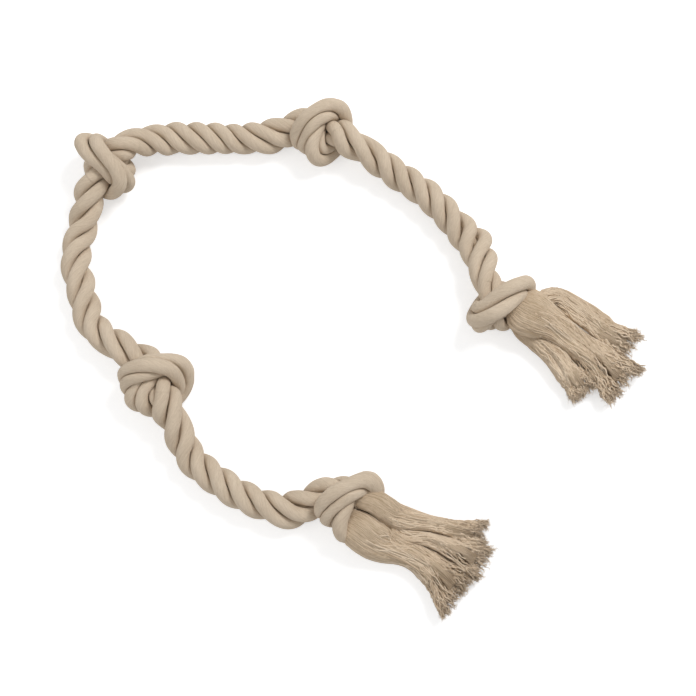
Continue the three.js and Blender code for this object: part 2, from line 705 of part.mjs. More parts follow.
// A bundle's solid, flat and wide towards its end, as round at its root as its neighbours let it be.
function bundleTube(bundle, all) {
  const middle = evenly(bundle.line, BUNDLE_RING_STEP);
  const inKnot = (q) => bundle.sign * (q[3] - bundle.face) < 0;
  const isRoot = (q, k) => k === bundle.k && Math.abs(q[3] - bundle.face) < 2 * STRAND_DIAMETER;
  const others = [
    ...all.filter((other) => other !== bundle).flatMap((other) => other.line),
    ...passes.flatMap((pass, k) => pass.filter((q) => inKnot(q) && !isRoot(q, k))),
  ];
  const shares = bundle.widthShares;
  const widthAt = (share) => {
    const step = Math.min(Math.floor(share * (shares.length - 1)), shares.length - 2);
    const part = share * (shares.length - 1) - step;
    return BUNDLE_WIDTH * THREE.MathUtils.lerp(shares[step], shares[step + 1], part);
  };
  const rings = middle.map((p, i) => {
    const way = unit(minus(middle[Math.min(i + 1, middle.length - 1)], middle[Math.max(i - 1, 0)]));
    const side = unit(cross(way, UP));
    const above = cross(side, way);
    const near = others.filter((q) => size(minus(q, p)) < 2 * BUNDLE_WIDTH);
    const share = i / (middle.length - 1);
    const spread = THREE.MathUtils.smoothstep(share, 0, SPREAD_SHARE);
    const width = widthAt(share);
    const height = THREE.MathUtils.lerp(STRAND_DIAMETER, BUNDLE_HEIGHT, spread);
    return Array.from({ length: BUNDLE_SIDES }, (_, n) => {
      const a = (2 * Math.PI * (n + 0.5)) / BUNDLE_SIDES;
      const u = along(side.map((c) => -c * Math.cos(a)), above, Math.sin(a));
      const full = 0.5 / Math.hypot(Math.cos(a) / width, Math.sin(a) / height);
      return along(p, u, reach(p, u, full, near, BUNDLE_GAP));
    });
  });
  return loft(rings);
}

TASSELS.forEach((tassel, i) => {
  bundles[i].forEach((bundle) => {
    const outward = 1 - bundle.n;
    const axis = outward ? UP : cross(bundle.way, UP);
    const joint = { point: bundle.root, axis };
    const back = bundle.way.map((c) => -c);
    const turns = outward ? [0, -outward * BUNDLE_SWING_ANGLE] : [0, -BUNDLE_LIFT_ANGLE];
    const solid = cutAt(solidOf(bundleTube(bundle, bundles[i])), joint, back, turns);
    addNode(`tassel_${tassel.name}_bundle_${bundle.n + 1}`, solid, yarnMaterial, overTable);
  });
});

// The toy stands with the middle of its box over the origin.
const box = new THREE.Box3().setFromObject(toy);
const centre = box.getCenter(new THREE.Vector3());
toy.position.set(-centre.x, -centre.y, -box.min.z);
const placed = (p) => [p[0] + toy.position.x, p[1] + toy.position.y, p[2] + toy.position.z];
toy.userData.joints = [
  ...SPANS.flatMap((span, i) => [
    { name: `lift_${span.name}`, point: placed(joints[i].lift.point), axis: joints[i].lift.axis },
    { name: `swing_${span.name}`, point: placed(joints[i].swing.point), axis: joints[i].swing.axis },
  ]),
  ...TASSELS.flatMap((tassel, i) =>
    bundles[i].map((bundle) => {
      const axis = bundle.n === 1 ? cross(bundle.way, UP) : UP;
      return { name: `tassel_${tassel.name}_bundle_${bundle.n + 1}`, point: placed(bundle.root), axis };
    }),
  ),
];

export default toy;
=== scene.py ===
# %% [markdown]
# A knotted rope toy for dogs, in Blender
#
# The real toy is one thick cotton rope of three strands, tied in five overhand knots, with a frayed
# tassel at each end. It lies in a U on a white table.
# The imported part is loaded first, and nothing in it is moved. Everything here is in metres, in its frame.

import json
import math

import bmesh
import bpy
import numpy as np
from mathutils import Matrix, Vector


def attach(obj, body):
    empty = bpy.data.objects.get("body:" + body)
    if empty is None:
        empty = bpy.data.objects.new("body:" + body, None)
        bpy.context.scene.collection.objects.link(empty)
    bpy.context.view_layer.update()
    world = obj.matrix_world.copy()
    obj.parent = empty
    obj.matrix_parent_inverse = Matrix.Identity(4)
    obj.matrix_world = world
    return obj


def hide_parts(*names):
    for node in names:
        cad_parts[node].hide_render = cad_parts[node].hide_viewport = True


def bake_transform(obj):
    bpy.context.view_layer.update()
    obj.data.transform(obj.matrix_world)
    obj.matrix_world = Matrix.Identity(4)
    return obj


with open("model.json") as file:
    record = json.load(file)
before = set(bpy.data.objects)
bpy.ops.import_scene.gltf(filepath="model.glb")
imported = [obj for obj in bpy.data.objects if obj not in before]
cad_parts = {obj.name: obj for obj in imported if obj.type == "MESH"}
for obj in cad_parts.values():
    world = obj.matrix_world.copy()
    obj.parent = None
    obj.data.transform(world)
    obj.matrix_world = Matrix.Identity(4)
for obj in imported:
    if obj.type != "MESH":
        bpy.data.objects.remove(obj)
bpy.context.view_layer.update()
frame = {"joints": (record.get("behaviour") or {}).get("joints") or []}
joints = {joint["name"]: joint for joint in frame["joints"]}

# %% [markdown]
# The rope's measures
#
# Cotton rope is soft, so a strand has two sizes: the one that it has when it is free, and the smaller one
# that is left between its neighbours when they press on it. Both come from the part's own source.

# %% The rope's measures
MM = 0.001
ROPE_DIAMETER = 22 * MM
STRAND_DIAMETER = 10.2 * MM
LAID_STRAND_DIAMETER = 9.3 * MM
LAY_LENGTH = 50.4 * MM
STRANDS = 3
FLOOR_GAP = 0.5 * MM
KNOT_ROPE_DIAMETER = 14.6 * MM
KNOT_STRAND_DIAMETER = 7.6 * MM
KNOT_LAY_LENGTH = 200 * MM
KNOT_HALF_LENGTH = 25 * MM
KNOT_BODY_SHARE = 1.3
KNOT_LENGTH_SHARE = 0.8
KNOT_BULGE_SHARE = 1.05
KNOT_HEIGHT_SHARE = 0.88
SQUEEZE_EDGE_SHARE = 0.25
PULL_MARGIN_SHARE = 1.2
PACKED_REACH = 21 * MM
PACKED_FADE = 26 * MM
PACKED_END = 3 * PACKED_FADE
KNOT_SOLID_DIAMETER = 10.4 * MM
FOOT_DEPTH = 1 * MM
LIFT_FADE = 45 * MM
LINE_STEP = 2.5 * MM
PULL_STEP = 3.2 * MM
SPAN_HEIGHT = ROPE_DIAMETER / 2 + FLOOR_GAP
UP = np.array([0.0, 0.0, 1.0])

# %% [markdown]
# The route
#
# These points say where the rope lies on the table. They were chosen knot by knot, and are the
# same as in the part's source. A knot's angles are in degrees: heading is the way of the rope through it,
# roll turns it about that line, and phase turns the three strands in it.

# %% The route
KNOTS = [
    dict(name="a", at=(0.002, -0.109), heading=145, roll=150, phase=90, length=0.7, bulge=1.14),
    dict(name="b", at=(-0.134, -0.026), heading=126, roll=150, phase=60, length=0.74, bulge=1.12),
    dict(name="c", at=(-0.173, 0.133), heading=82, roll=88, phase=90, length=0.86, bulge=1.12),
    dict(name="d", at=(-0.018, 0.160), heading=-30, roll=30, phase=90, length=0.64, bulge=1.12),
    dict(name="e", at=(0.107, 0.029), heading=-18, roll=88, phase=90, length=0.76, bulge=1.18),
]
SPANS = {
    "ab": [(-0.048, -0.1106), (-0.070, -0.1042), (-0.091, -0.0912), (-0.109, -0.0756)],
    "bc": [(-0.178, 0.014), (-0.1884, 0.0421), (-0.1936, 0.0634), (-0.1905, 0.087)],
    "cd": [(-0.135, 0.1588), (-0.1139, 0.1583), (-0.0936, 0.1568), (-0.0732, 0.156)],
    "de": [(0.036, 0.1277), (0.0546, 0.1148), (0.0701, 0.099), (0.0833, 0.0804)],
}
TASSELS = {
    "a": dict(stub=[(0.033, -0.124), (0.054, -0.134)], bundles=[
        dict(strand=2, route=[(0.0355, -0.120), (0.057, -0.122), (0.076, -0.1265), (0.093, -0.130)]),
        dict(strand=1, route=[(0.036, -0.129), (0.057, -0.133), (0.077, -0.142), (0.094, -0.150)]),
        dict(strand=3, route=[(0.024, -0.135), (0.042, -0.141), (0.058, -0.152), (0.077, -0.168)]),
    ]),
    "e": dict(stub=[(0.136, 0.023), (0.155, 0.008)], bundles=[
        dict(strand=1, route=[(0.146, 0.037), (0.164, 0.026), (0.183, 0.011), (0.202, -0.001)]),
        dict(strand=3, route=[(0.140, 0.021), (0.156, 0.008), (0.176, -0.009), (0.195, -0.027)]),
        dict(strand=2, route=[(0.132, 0.010), (0.143, -0.0025), (0.154, -0.017), (0.165, -0.032)]),
    ]),
}

# %% [markdown]
# How a knot is tied
#
# Nobody draws a tight knot by hand: it is tied loosely and then pulled. The rope's line starts as a wide
# overhand loop and is shortened a little at a time. After each step, passes of the line that are nearer
# than the rope is thick are pushed apart. What is left in the end is the shape of the pulled knot.

# %% Lines with even steps
def unit(vectors):
    return vectors / np.linalg.norm(vectors, axis=-1, keepdims=True)


def lengths_along(points):
    """How far along the line each of its points is."""
    return np.concatenate([[0], np.cumsum(np.linalg.norm(np.diff(points[:, :3], axis=0), axis=1))])


def read_at(places, known, table):
    """The rows of a table that is known at some places, read between them at others."""
    return np.stack([np.interp(places, known, column) for column in table.T], axis=-1)


def evenly(points, step):
    """The same line with its points at equal steps. What follows x, y and z is carried along."""
    points = np.asarray(points, float)
    reached = lengths_along(points)
    count = max(2, int(math.floor(reached[-1] / step + 0.5)))
    return read_at(np.linspace(0, reached[-1], count + 1), reached, points)


def crosswise(ways):
    """Two directions across each way of a line. They don't twist along it."""
    side, sides = UP, []
    for way in ways:
        side = unit(side - way * (side @ way))
        sides.append(side)
    sides = np.array(sides)
    return sides, np.cross(ways, sides)


# %% Pulling a line tight
# Points of one line that are nearer along it than this share of their two radii don't push each other.
OWN_REACH_SHARE = 1.6
PUSH_SHARE = 1.3
CROWD_SHARE = 0.6


def separate(chains, pull):
    """Pushes apart the passes that are nearer than their radii, and opens bends that are too sharp."""
    counts = [len(chain) for chain in chains]
    points = np.vstack(chains)
    owner = np.repeat(np.arange(len(chains)), counts)
    place = np.concatenate([np.arange(count) for count in counts])
    free = (place >= pull["held"]) & (place < np.repeat(counts, counts) - pull["held"])
    radius = pull["radius"](points)
    want = radius[:, None] + radius[None, :]
    apart = np.abs(place[:, None] - place[None, :])
    own = owner[:, None] == owner[None, :]
    first = np.where(place[:, None] < place[None, :], radius[:, None], radius[None, :])
    bend = pull["step"] / (4 * pull["bend_share"] * first)
    opened = 2 * pull["step"] * np.sqrt(np.maximum(0, 1 - bend * bend))
    too_near = own & (apart * pull["step"] < OWN_REACH_SHARE * want)
    want = np.where(too_near, np.where(apart == 2, opened, 0), want)
    flat = points[:, :3]
    distance = np.sqrt(np.maximum(0, ((flat[:, None] - flat[None]) ** 2).sum(axis=2)))
    touching = (distance < want) & (distance > 0)
    half = np.where(touching, (want - distance) / (2 * np.where(distance > 0, distance, 1)), 0)
    push = flat * half.sum(axis=1)[:, None] - half @ flat
    hits = touching.sum(axis=1)
    share = np.where(free & (hits > 0), PUSH_SHARE / np.maximum(1, CROWD_SHARE * hits), 0)
    points[:, :3] += push * share[:, None]
    return np.split(points, np.cumsum(counts)[:-1])


def tighten(chains, pull):
    """Pulls the chains as tight as they go without any two passes running into each other."""
    held = pull["held"]
    for turn in range(1, pull["rounds"] + 1):
        for chain in chains:
            middle = 0.5 * (chain[held - 1:-held - 1, :3] + chain[held + 1:len(chain) - held + 1, :3])
            chain[held:-held, :3] += pull["ease"] * (middle - chain[held:-held, :3])
        for _ in range(pull["pushes"]):
            chains = separate(chains, pull)
        if turn % pull["respace_every"] == 0:
            for i, chain in enumerate(chains):
                end = len(chain) - held + 1
                inner = evenly(chain[held - 1:end], pull["step"])
                chains[i] = np.vstack([chain[:held - 1], inner, chain[end:]])
    return chains


# %% One overhand knot, along X
def overhand_knot():
    d = KNOT_ROPE_DIAMETER
    seed_points, seed_share, seed_end, tall_share, lead_share = 120, 0.8, 2.05, 0.8, 6
    t = seed_end * (2 * np.arange(seed_points + 1) / seed_points - 1)
    loop = np.column_stack([t**3 - 3 * t, tall_share * (t**4 - 4 * t**2 + 2), (t**5 - 10 * t) / 9])
    ends = np.array([[-lead_share * d, 0, 0], [lead_share * d, 0, 0]])
    loose = np.vstack([ends[:1], loop * seed_share * d, ends[1:]])
    pull = dict(step=0.3 * d, radius=lambda p: np.full(len(p), d / 2), rounds=400, ease=0.35, pushes=4,
                bend_share=0.6, respace_every=1, held=1)
    x, y, z = tighten([evenly(loose, pull["step"])], pull)[0].T
    fade_share = 1.2
    out = np.maximum(0, np.abs(x) / d - KNOT_BODY_SHARE)
    bulge = KNOT_BULGE_SHARE + (1 - KNOT_BULGE_SHARE) * np.minimum(1, out / fade_share)
    length = (np.minimum(np.abs(x) / d, KNOT_BODY_SHARE) * KNOT_LENGTH_SHARE + out) * d
    return np.column_stack([np.sign(x) * length, y * bulge, z * bulge])


def lay_knot(shape, knot):
    """The part of the knot's line that is in its lump, turned to its place on the table."""
    edge = KNOT_BODY_SHARE * KNOT_LENGTH_SHARE * KNOT_ROPE_DIAMETER
    first = int(np.argmax(shape[:, 0] > -edge))
    last = len(shape) - int(np.argmax(shape[::-1, 0] < edge))
    lump = shape[first:last] - shape[first:last].mean(axis=0)
    heading, roll = math.radians(knot["heading"]), math.radians(knot["roll"])
    way = np.array([math.cos(heading), math.sin(heading), 0.0])
    left = np.cross(UP, way)
    x, y, z = lump.T
    side = y * math.cos(roll) - z * math.sin(roll)
    height = y * math.sin(roll) + z * math.cos(roll)
    lift = (KNOT_ROPE_DIAMETER + KNOT_STRAND_DIAMETER + STRAND_DIAMETER) / 4 - height.min()
    at = np.array([*knot["at"], 0.0])
    points = at + np.outer(x, way) + np.outer(side, left) + np.outer(height + lift, UP)
    return dict(knot, way=way, centre=at + UP * lift, points=points)


knot_shape = overhand_knot()
laid_knots = [lay_knot(knot_shape, knot) for knot in KNOTS]
print("a tight knot takes", round(lengths_along(laid_knots[0]["points"])[-1], 3), "m of rope")


# %% A smooth curve through points
def curve_through(control, shares):
    """Points of a smooth curve through all the control points. Shares run from 0 to 1 over all of it."""
    control = np.asarray(control, float)
    count = len(control)
    place = (count - 1) * np.asarray(shares, float)
    index = np.minimum(np.floor(place).astype(int), count - 2)
    t = (place - index)[:, None]
    before = np.vstack([2 * control[0] - control[1], control])[index]
    p1, p2 = control[index], control[index + 1]
    after = np.vstack([control, 2 * control[-1] - control[-2]])[index + 2]
    gaps = [np.sqrt(np.linalg.norm(b - a, axis=1))[:, None]
            for a, b in ((before, p1), (p1, p2), (p2, after))]
    start = ((p1 - before) / gaps[0] - (p2 - before) / (gaps[0] + gaps[1]) + (p2 - p1) / gaps[1]) * gaps[1]
    end = ((p2 - p1) / gaps[1] - (after - p1) / (gaps[1] + gaps[2]) + (after - p2) / gaps[2]) * gaps[1]
    square = -3 * p1 + 3 * p2 - 2 * start - end
    cube = 2 * p1 - 2 * p2 + start + end
    return p1 + start * t + square * t**2 + cube * t**3


# %% The rope's whole line
def rope_line():
    def on_table(points):
        return [(x, y, SPAN_HEIGHT) for x, y in points]

    routes = list(SPANS.values())
    control = on_table(TASSELS["a"]["stub"][::-1])
    for i, knot in enumerate(laid_knots):
        knot["first"] = len(control)
        control += [tuple(p) for p in knot["points"]]
        knot["last"] = len(control) - 1
        if i < len(routes):
            control += on_table(routes[i])
    control += on_table(TASSELS["e"]["stub"])
    parts = 8
    places = np.arange((len(control) - 1) * parts + 1) / parts
    fine = np.column_stack([curve_through(control, places / (len(control) - 1)), places])
    line = evenly(fine, LINE_STEP)
    step = lengths_along(line)[-1] / (len(line) - 1)
    for knot in laid_knots:
        inside = np.flatnonzero((line[:, 3] >= knot["first"]) & (line[:, 3] <= knot["last"]))
        off = line[:, :3] - np.array([*knot["at"], 0.0])
        past = np.abs(off @ knot["way"]) >= KNOT_HALF_LENGTH
        face_in, face_out = inside[0], inside[-1]
        while not past[face_in]:
            face_in -= 1
        while not past[face_out]:
            face_out += 1
        knot["middle"] = (inside[0] + inside[-1]) / 2 * step
        knot["face_in"], knot["face_out"] = face_in * step, face_out * step
    return np.column_stack([line[:, :3], np.arange(len(line)) * step]), step


rope, rope_step = rope_line()
print("rope's line", round(rope[-1, 3], 3), "m,", len(rope), "points")


def line_at(s):
    return read_at(s, rope[:, 3], rope[:, :3])


def way_at(s):
    return unit(line_at(np.asarray(s) + rope_step) - line_at(np.asarray(s) - rope_step))


# %% [markdown]
# The three strands
#
# A right-laid rope winds its strands like a right-handed screw, one turn in 50 mm. Inside a knot the lay
# opens, because the rope is bent hard there, and each strand finds its own way. So the strands are wound
# round the rope's line first, and then pulled tight once more, each for itself.

# %% The strands, wound and settled
def smoothstep(x, low, high):
    share = np.clip((x - low) / (high - low), 0, 1)
    return share * share * (3 - 2 * share)


def squeeze(s):
    """How far inside a knot a place on the rope is, from 0 on a free span to 1 in the lump."""
    s = np.asarray(s, float)
    inside = []
    for knot in laid_knots:
        half = (knot["face_out"] - knot["face_in"]) / 2
        off = np.abs(s - knot["middle"]) - half + ROPE_DIAMETER
        inside.append(1 / (1 + np.exp(off / (SQUEEZE_EDGE_SHARE * ROPE_DIAMETER))))
    return np.max(inside, axis=0)


def lay_angles():
    """The angles that the first strand has turned through. The spans meet each knot's phase."""
    inside = squeeze(rope[:, 3])
    angles = np.cumsum(rope_step * 2 * math.pi * ((1 - inside) / LAY_LENGTH + inside / KNOT_LAY_LENGTH))
    third = 2 * math.pi / STRANDS
    wanted = []
    for knot in laid_knots:
        off = math.radians(knot["phase"]) - angles[int(math.floor(knot["middle"] / rope_step + 0.5))]
        wanted.append(off - third * math.floor(off / third + 0.5))
    s, offset = rope[:, 3], np.full(len(rope), wanted[0])
    for i in range(1, len(laid_knots)):
        share = smoothstep(s, laid_knots[i - 1]["face_out"], laid_knots[i]["face_in"])
        offset += (wanted[i] - wanted[i - 1]) * share
    return angles + offset


def lay_strands():
    angles = lay_angles()
    inside = squeeze(rope[:, 3])
    lay_radius = (ROPE_DIAMETER - STRAND_DIAMETER) / 2
    radius = lay_radius + inside * (KNOT_STRAND_DIAMETER / math.sqrt(3) - lay_radius)
    sides, others = crosswise(way_at(rope[:, 3]))
    strands = []
    for k in range(STRANDS):
        a = angles + 2 * math.pi * k / STRANDS
        x, y = (radius * np.cos(a))[:, None], (radius * np.sin(a))[:, None]
        place = rope[:, :3] + x * sides + y * others
        strands.append(evenly(np.column_stack([place, rope[:, 3]]), PULL_STEP))
    return strands


def settle_strands(strands):
    def radius(points):
        inside = squeeze(points[:, 3])
        return (LAID_STRAND_DIAMETER + (KNOT_STRAND_DIAMETER - LAID_STRAND_DIAMETER) * inside) / 2

    margin = PULL_MARGIN_SHARE * ROPE_DIAMETER
    pull = dict(step=PULL_STEP, radius=radius, rounds=90, ease=0.12, pushes=5,
                bend_share=0.75, respace_every=6, held=4)
    for knot in laid_knots:
        windows = []
        for strand in strands:
            after = np.flatnonzero(strand[:, 3] > knot["face_out"] + margin)
            first = int(np.argmax(strand[:, 3] > knot["face_in"] - margin))
            windows.append((first, int(after[0]) if len(after) else len(strand)))
        chains = tighten([strand[a:b].copy() for strand, (a, b) in zip(strands, windows)], pull)
        for k, (a, b) in enumerate(windows):
            strands[k] = np.vstack([strands[k][:a], chains[k], strands[k][b:]])


strands = lay_strands()
settle_strands(strands)
print("strands", [round(lengths_along(strand)[-1], 3) for strand in strands], "m")


# %% The knots, packed and let down on the table
def past_faces(knot, line):
    """How far along the rope each point is past the knot's faces. Between them it is less than 0."""
    return np.maximum(knot["face_in"] - line[:, 3], line[:, 3] - knot["face_out"])


def pack_knots():
    """Packs each lump along its line and from above, which makes it wider. It fades out on the spans."""
    for knot in laid_knots:
        left = np.cross(UP, knot["way"])
        for line in [*strands, rope]:
            let_go = 1 - smoothstep(past_faces(knot, line), PACKED_FADE, PACKED_END)[:, None]
            d = line[:, :3] - knot["centre"]
            x = d @ knot["way"]
            fade = smoothstep(np.abs(x), PACKED_REACH, PACKED_REACH + PACKED_FADE)
            stretch, bulge, height = (share + (1 - share) * fade
                                      for share in (knot["length"], knot["bulge"], KNOT_HEIGHT_SHARE))
            packed = np.outer(x * stretch, knot["way"]) + np.outer((d @ left) * bulge, left)
            line[:, :3] += let_go * (packed + np.outer(d[:, 2] * height, UP) - d)


def rest_on_table():
    for knot in laid_knots:
        lowest = min(line[past_faces(knot, line) < 0, 2].min() for line in strands)
        drop = KNOT_SOLID_DIAMETER / 2 - FOOT_DEPTH - lowest
        for line in [*strands, rope]:
            line[:, 2] += drop * (1 - smoothstep(past_faces(knot, line), 0, LIFT_FADE))


pack_knots()
rest_on_table()
print("knots' centres", [[round(float(c), 3) for c in knot["centre"]] for knot in laid_knots])

# %% [markdown]
# Into the part's frame
#
# The part stands with the middle of its box over the origin, and the route above doesn't. A hinge in the
# middle of a free span is a point of the rope's line, so it says how far the whole rope is moved.

# %% Move the rope into the part's frame
def hinge(name):
    return np.array(joints[name]["pos_m"], float)


def span_ends(name):
    """The places on the rope of the span's two faces. The one nearer the middle knot comes first."""
    first = [knot["name"] for knot in laid_knots].index(name[0])
    ends = laid_knots[first]["face_out"], laid_knots[first + 1]["face_in"]
    return ends if first >= 2 else ends[::-1]


shifts = [hinge("swing_" + name) - line_at(sum(span_ends(name)) / 2) for name in SPANS]
shift = np.array([*np.median(shifts, axis=0)[:2], 0.0])
for line in [*strands, rope]:
    line[:, :3] += shift
for knot in laid_knots:
    knot["centre"] = knot["centre"] + shift
print("moved by", shift.round(5), "and the hinges agree within", np.ptp(shifts, axis=0).max().round(4), "m")

# %% [markdown]
# The camera
#
# The photograph looks down on the toy. The camera is taken to be 78 degrees above the table and 0.85 m
# away. One pixel there is 0.7 mm, which gives the lens.

# %% Camera
def aimed(name, data, place, way):
    """An object at a place in the scene, which looks along a way."""
    thing = bpy.data.objects.new(name, data)
    thing.location = place
    thing.rotation_mode = "QUATERNION"
    thing.rotation_quaternion = way.to_track_quat("-Z", "Y")
    bpy.context.scene.collection.objects.link(thing)
    return thing


IMAGE_SIDE = 696
PIXEL = 0.7 * MM
ELEVATION = math.radians(78)
DISTANCE = 0.85
LOOK_AT = Vector((*shift[:2], 12 * MM))

back = Vector((0, -math.cos(ELEVATION), math.sin(ELEVATION)))
camera = aimed("camera", bpy.data.cameras.new("camera"), LOOK_AT + back * DISTANCE, -back)
camera.data.sensor_width = 36
camera.data.lens = camera.data.sensor_width * DISTANCE / (IMAGE_SIDE * PIXEL)
bpy.context.scene.camera = camera
print("lens", round(camera.data.lens, 1), "mm")

# %% [markdown]
# A strand that presses on its neighbours
#
# A free strand is round. In the rope it isn't: where two strands press on each other, both are flat, and
# the crease between them is narrow. So each section of a strand starts as a circle, and goes at most half
# of the way to any other pass of rope near it. Its corners stay soft, as cotton's do.

# %% Sections
FINE_STEP = 1.0 * MM
STRAND_SIDES = 32
CREASE = 0.1 * MM
SOFTNESS = 7
NEAR = 2 * STRAND_DIAMETER
OWN_APART = 1.2 * STRAND_DIAMETER
THINNEST_SHARE = 0.2
NO_LIMIT = 1.0
passes = [evenly(curve_through(line, np.linspace(0, 1, 4 * len(line))), FINE_STEP) for line in strands]


def frames_along(points):
    return crosswise(unit(np.gradient(points[:, :3], axis=0)))


def spokes(sides, others, count):
    """For each ring, the directions from its middle to its corners."""
    angles = 2 * math.pi * np.arange(count) / count
    return np.cos(angles)[None, :, None] * sides[:, None] + np.sin(angles)[None, :, None] * others[:, None]


def limit(middle, directions, near):
    """Half of the way from a middle to any of the points near it, along each direction."""
    off = near - middle
    distance = np.linalg.norm(off, axis=1)
    off, distance = off[distance < NEAR], distance[distance < NEAR]
    forward = off @ directions.T
    half = np.full(forward.shape, NO_LIMIT)
    np.divide((distance**2 - CREASE * distance)[:, None], 2 * forward, out=half, where=forward > 0)
    return half.min(axis=0, initial=NO_LIMIT)


def pressed_reach(full, half, height, directions, thinnest_share):
    """How far a section reaches: to its full size, where its neighbours and the table let it."""
    down = -directions @ UP
    table = np.where(down > 0, height / np.maximum(down, 1e-6), NO_LIMIT)
    room = np.maximum(np.minimum(half, table), thinnest_share * full)
    return (room**-SOFTNESS + full**-SOFTNESS) ** (-1 / SOFTNESS)


def along_mean(values, reach):
    """Each ring's values, averaged with those of the rings beside it."""
    padded = np.pad(values, ((reach, reach), (0, 0)), mode="edge")
    return np.mean([padded[i:i + len(values)] for i in range(2 * reach + 1)], axis=0)


def strand_rings(k, start, end):
    """The rings of one strand between two places on the rope, and the painted shade of each corner, which
    is how far its neighbours and the table squeeze it in.
    """
    line = passes[k]
    inner = line[(line[:, 3] > start) & (line[:, 3] < end)]
    places = np.concatenate([[start], inner[:, 3], [end]])
    points, sides, others = (read_at(places, line[:, 3], v[:, :3]) for v in (line, *strand_frames[k]))
    directions = spokes(unit(sides), unit(others), STRAND_SIDES)
    full = (STRAND_DIAMETER + (KNOT_SOLID_DIAMETER - STRAND_DIAMETER) * squeeze(places)) / 2
    foreign = np.vstack([other[:, :3] for j, other in enumerate(passes) if j != k])
    radius = np.empty((len(points), STRAND_SIDES))
    for i, point in enumerate(points):
        own = line[np.abs(line[:, 3] - places[i]) >= OWN_APART, :3]
        half = limit(point, directions[i], np.vstack([foreign, own]))
        radius[i] = pressed_reach(full[i], half, point[2], directions[i], THINNEST_SHARE)
    radius = along_mean(radius, reach=2)
    return points[:, None] + directions * radius[:, :, None], 1 - radius / full[:, None], places


strand_frames = [frames_along(line) for line in passes]
print("fine points in each strand:", [len(line) for line in passes])

# %% [markdown]
# The heart of the rope
#
# Beside a knot the lay opens and the three strands part a little. Light would come through there, so a
# thin tube of yarns fills the middle of each free span. It is darkened with painted shade, as the strands
# around it would shade it.

# %% The heart of the rope
HEART_DIAMETER = 6.4 * MM
HEART_SIDES = 8
# Painted shade on the heart, which lies in the strands' shadow.
HEART_SHADE = 0.3


def heart_rings(start, end):
    """The innermost yarns, where the three strands meet. They close the gaps where the lay opens, and get
    painted shade.
    """
    places = np.linspace(start, end, int((end - start) / FINE_STEP))
    points = np.mean([read_at(places, line[:, 3], line[:, :3]) for line in passes], axis=0)
    rings = points[:, None] + spokes(*frames_along(points), HEART_SIDES) * HEART_DIAMETER / 2
    return rings, np.full(rings.shape[:2], HEART_SHADE), places

# %% [markdown]
# A tube is a rolled sheet
#
# Blender's grid operator makes a flat sheet of squares with a UV map. Here its rows become the rings of a
# strand: the sheet is rolled up round the strand's middle, its two long edges are merged, and the ends
# are closed. The UV map then says how far along the strand and how far round it a point is, which the
# cotton's material needs, because its fibres follow the strand.

# %% Roll a sheet into a tube
def mesh_from(work, name):
    """A mesh with what a bmesh holds. The bmesh is let go."""
    mesh = bpy.data.meshes.new(name)
    work.to_mesh(mesh)
    work.free()
    return mesh


def work_from(mesh):
    """A bmesh with what a mesh holds. The mesh is let go."""
    work = bmesh.new()
    work.from_mesh(mesh)
    bpy.data.meshes.remove(mesh)
    return work


def read_all(items, name, width):
    """One property of all items, with a row for each."""
    flat = np.empty(len(items) * width, np.float32)
    items.foreach_get(name, flat)
    return flat.reshape(-1, width)


def write_all(items, name, values):
    items.foreach_set(name, values.astype(np.float32).ravel())


def roll_tube(rings, painted_shade):
    """A tube with one row of a grid for each ring of points."""
    count, sides = rings.shape[:2]
    sheet = bmesh.new()
    sheet.loops.layers.uv.verify()
    bmesh.ops.create_grid(sheet, x_segments=sides, y_segments=count - 1, size=1, calc_uvs=True)
    mesh = mesh_from(sheet, "sheet")
    x, y, _ = read_all(mesh.vertices, "co", 3).T
    side = np.rint((x + 1) / 2 * sides).astype(int) % sides
    ring = np.rint((y + 1) / 2 * (count - 1)).astype(int)
    write_all(mesh.vertices, "co", rings[ring, side])
    # Each corner's painted shade and tone go to the material as attributes.
    for name, values in (("painted_shade", painted_shade), ("tone", np.zeros(painted_shade.shape))):
        write_all(mesh.attributes.new(name, "FLOAT", "POINT").data, "value", values[ring, side])

    layer = mesh.uv_layers[0].data
    round_share, row_share = read_all(layer, "uv", 2).T
    along = np.interp(row_share, np.linspace(0, 1, count), lengths_along(rings.mean(axis=1)))
    write_all(layer, "uv", np.column_stack([along, round_share]))

    tube = work_from(mesh)
    seam = [v for v in tube.verts if v.is_boundary]
    bmesh.ops.remove_doubles(tube, verts=seam, dist=1e-7)
    bmesh.ops.holes_fill(tube, edges=[e for e in tube.edges if e.is_boundary], sides=0)
    bmesh.ops.recalc_face_normals(tube, faces=tube.faces)
    return tube


def piece_of(name, tubes, material):
    """One object out of several tubes, at the origin, with its place in its mesh."""
    joined = bmesh.new()
    for tube in tubes:
        part = mesh_from(tube, "part")
        joined.from_mesh(part)
        bpy.data.meshes.remove(part)
    mesh = mesh_from(joined, name)
    mesh.shade_smooth()
    mesh.materials.append(material)
    piece = bpy.data.objects.new(name, mesh)
    bpy.context.scene.collection.objects.link(piece)
    return piece

# %% [markdown]
# Cotton
#
# The rope is undyed cotton: a warm off-white with no shine. The creases where the strands press on each
# other get painted shade, a browner colour. A strand is twisted the other way from the rope, so that its
# yarns run nearly along the rope. The pattern is worked out on a cylinder that is wound up by that twist,
# from the piece's UV map.

# %% Nodes
def srgb(*levels):
    """A colour as a picture shows it, from 0 to 255, as Blender wants it."""
    shares = [level / 255 for level in levels]
    return (*(s / 12.92 if s <= 0.04045 else ((s + 0.055) / 1.055) ** 2.4 for s in shares), 1.0)


